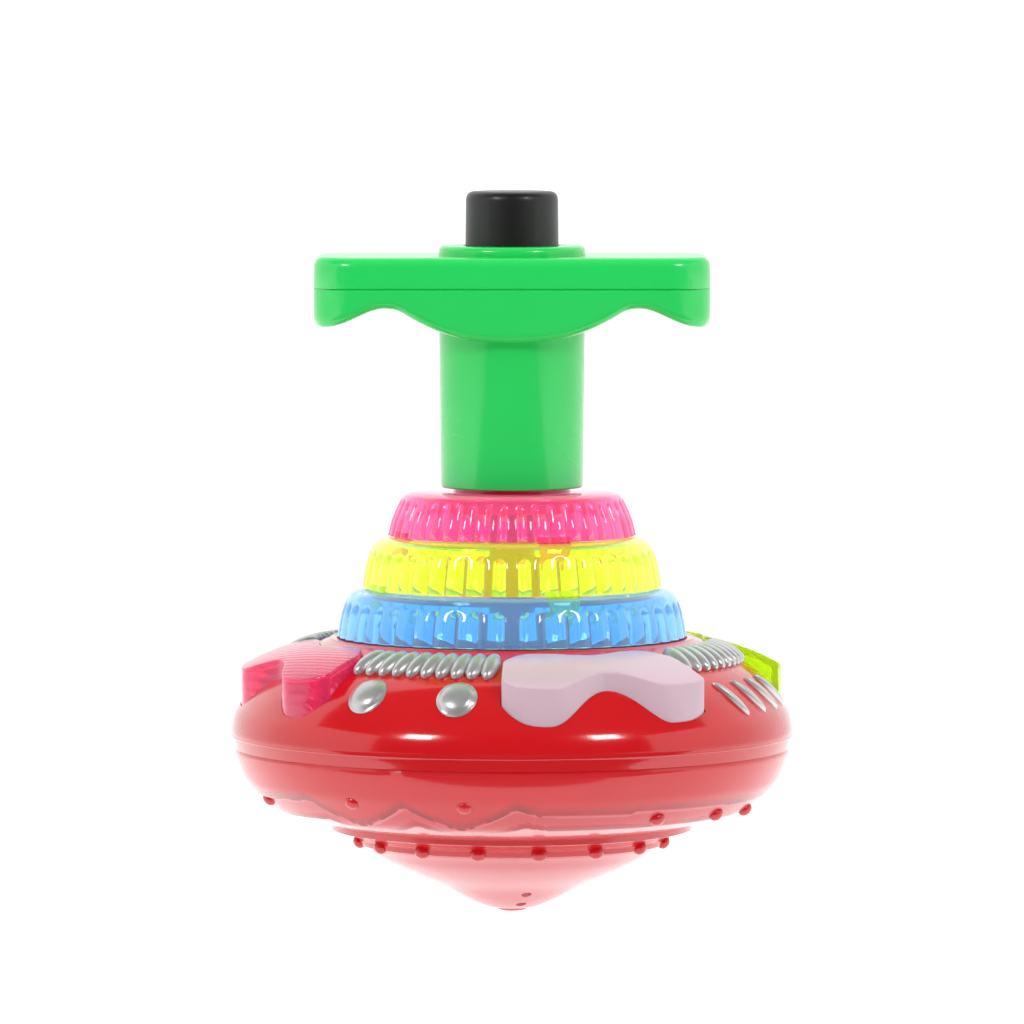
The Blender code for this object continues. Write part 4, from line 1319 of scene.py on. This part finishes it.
# ---- studio ------------------------------------------------------------------------------
@dataclass
class Studio:
    """Pale sweep, soft lights and the camera."""

    distance: float = 1.4
    height: float = 0.161
    aim: float = 0.06907
    width: float = 0.1763
    bright: float = 1.0
    drop: float = 0.0312

    def floor(self) -> None:
        """A pale floor that curves up behind."""
        section = [(-6.0, 0.0), (1.6, 0.0)]
        section += [(1.6 + 1.2 * math.sin(math.radians(a)), 1.2 - 1.2 * math.cos(math.radians(a)))
                    for a in range(10, 91, 10)]
        section += [(2.8, 5.0)]
        points = [(x, y, z) for y, z in section for x in (-5.0, 5.0)]
        faces = [[2 * i, 2 * i + 1, 2 * i + 3, 2 * i + 2] for i in range(len(section) - 1)]
        mesh = bpy.data.meshes.new("studio_floor")
        mesh.from_pydata(points, [], faces)
        mesh.shade_smooth()
        floor = bpy.data.objects.new("studio_floor", mesh)
        bpy.context.scene.collection.objects.link(floor)
        floor.location.z = -self.drop
        work = Surface("studio_floor_paint")
        shade = work.noise(work.place, 2.0)
        work.set(Base_Color=work.blend(shade, (0.93, 0.93, 0.93, 1), (0.96, 0.96, 0.96, 1)),
                 Roughness=0.9, Specular_IOR_Level=0.1, Emission_Color=(1, 1, 1, 1),
                 Emission_Strength=0.22)
        mesh.materials.append(work.made)

    def air(self) -> None:
        """Even white surroundings."""
        world = bpy.data.worlds.new("studio_air")
        world.use_nodes = True
        back = world.node_tree.nodes["Background"]
        back.inputs[0].default_value = (1.0, 1.0, 1.0, 1.0)
        back.inputs[1].default_value = self.bright
        bpy.context.scene.world = world

    def flag(self, name: str, corners: Sequence[Point], diffuse: bool, glossy: bool = True,
             glow: float = 0.06) -> None:
        """A cloth the camera does not see, for reflections, soft light or both."""
        mesh = bpy.data.meshes.new(name)
        mesh.from_pydata(corners, [], [[0, 1, 2, 3]])
        cloth = bpy.data.objects.new(name, mesh)
        bpy.context.scene.collection.objects.link(cloth)
        work = Surface(name + "_cloth")
        weave = work.noise(work.place, 30.0)
        work.set(Base_Color=work.blend(weave, rgba((0.02,) * 3), rgba((0.04,) * 3)),
                 Roughness=1.0, Specular_IOR_Level=0.0, Emission_Color=(1, 1, 1, 1),
                 Emission_Strength=glow)
        mesh.materials.append(work.made)
        cloth.visible_camera = cloth.visible_shadow = cloth.visible_transmission = False
        cloth.visible_diffuse = diffuse
        cloth.visible_glossy = glossy

    def light(self, name: str, place: Point, size: Flat, power: float,
              glossy: bool = True) -> None:
        """A soft light aimed at the toy, seen in reflections if glossy."""
        lamp = bpy.data.lights.new(name, "AREA")
        lamp.shape, lamp.size, lamp.size_y, lamp.energy = "RECTANGLE", size[0], size[1], power
        obj = bpy.data.objects.new(name, lamp)
        obj.location = place
        obj.rotation_euler = (Vector((0, 0, 0.06)) - Vector(place)).to_track_quat(
            "-Z", "Y").to_euler()
        obj.visible_glossy = glossy
        bpy.context.scene.collection.objects.link(obj)

    def camera(self) -> None:
        """Camera a little above the toy, square to its front."""
        lens = bpy.data.cameras.new("camera")
        lens.sensor_width = 36.0
        reach = math.hypot(self.distance, self.height - self.aim)
        lens.lens = 36.0 * reach / self.width
        lens.clip_end = 50.0
        obj = bpy.data.objects.new("camera", lens)
        obj.location = (0.0, -self.distance, self.height)
        way = Vector((0.0, 0.0, self.aim)) - obj.location
        obj.rotation_euler = way.to_track_quat("-Z", "Y").to_euler()
        bpy.context.scene.collection.objects.link(obj)
        bpy.context.scene.camera = obj

    def build(self) -> None:
        """Set the floor, the light and the camera."""
        self.floor()
        self.air()
        self.flag("front_flag", ((-4.0, -2.4, 0.0), (4.0, -2.4, 0.0), (4.0, -2.4, 2.6),
                                 (-4.0, -2.4, 2.6)), True)
        self.flag("table_flag", ((-1.6, -2.4, 0.001), (1.6, -2.4, 0.001), (0.3, -0.075, 0.001),
                                 (-0.3, -0.075, 0.001)), False)
        self.flag("roof_flag", ((-4.0, -2.4, 2.6), (4.0, -2.4, 2.6), (4.0, 0.7, 2.6),
                                (-4.0, 0.7, 2.6)), False)
        low = 0.0003 - self.drop
        self.flag("floor_cloth", ((-0.6, -0.6, low), (0.6, -0.6, low), (0.6, 0.6, low),
                                  (-0.6, 0.6, low)), True, False, 1.05)
        self.light("left_box", (-0.75, -0.85, 0.75), (0.26, 0.26), 4.6)
        self.light("right_box", (0.75, -0.85, 0.75), (0.26, 0.26), 4.2)
        self.light("top_box", (0.0, -0.1, 1.3), (0.8, 0.8), 4.0, False)
        bpy.context.scene.view_settings.view_transform = "Standard"
        self.camera()


def clear_start() -> None:
    """Empty the start-up scene."""
    for obj in list(bpy.data.objects):
        bpy.data.objects.remove(obj, do_unlink=True)


def main() -> None:
    """Build the toy's looks on the frame."""
    logging.basicConfig(level=logging.INFO, format="%(message)s")
    clear_start()
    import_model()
    Studio().build()
    Handle().build()
    PushButton().build()
    ReturnSpring().build()
    tiers = (
        LightTier("pink", Finish.PINK, ((21.4, 65.2), (20.75, 67.8), (19.7, 70.3), (18.6, 72.05),
                                        (16.8, 72.65)), 10.15, 71.6, 3.0),
        LightTier("yellow", Finish.YELLOW, ((25.8, 56.3), (25.3, 59.6), (24.5, 62.3),
                                            (23.4, 64.1), (21.6, 64.9)), 15.6, 62.9, 3.0,
                  Finish.YELLOW_WINDOW),
        LightTier("blue", Finish.BLUE, ((30.1, 47.8), (29.6, 51.0), (28.75, 53.7), (27.6, 55.3),
                                        (25.8, 56.0)), 19.6, 54.0),
    )
    for tier in tiers:
        tier.build()
    DriveSocket().build()
    windows = (
        LampWindow("white", Finish.WHITE_WINDOW, 22.0, -1.0),
        LampWindow("pink", Finish.PINK_WINDOW, -68.0, 1.0),
        LampWindow("blue", Finish.BLUE_WINDOW, -158.0, -1.0),
        LampWindow("yellow", Finish.YELLOW_WINDOW, 112.0, 1.0),
    )
    shoulder = Shoulder()
    shoulder.build(windows)
    for window in windows:
        window.build()
    SilverRelief(shoulder).build()
    Bowl().build()
    Works().build()


if __name__ == "__main__":
    main()
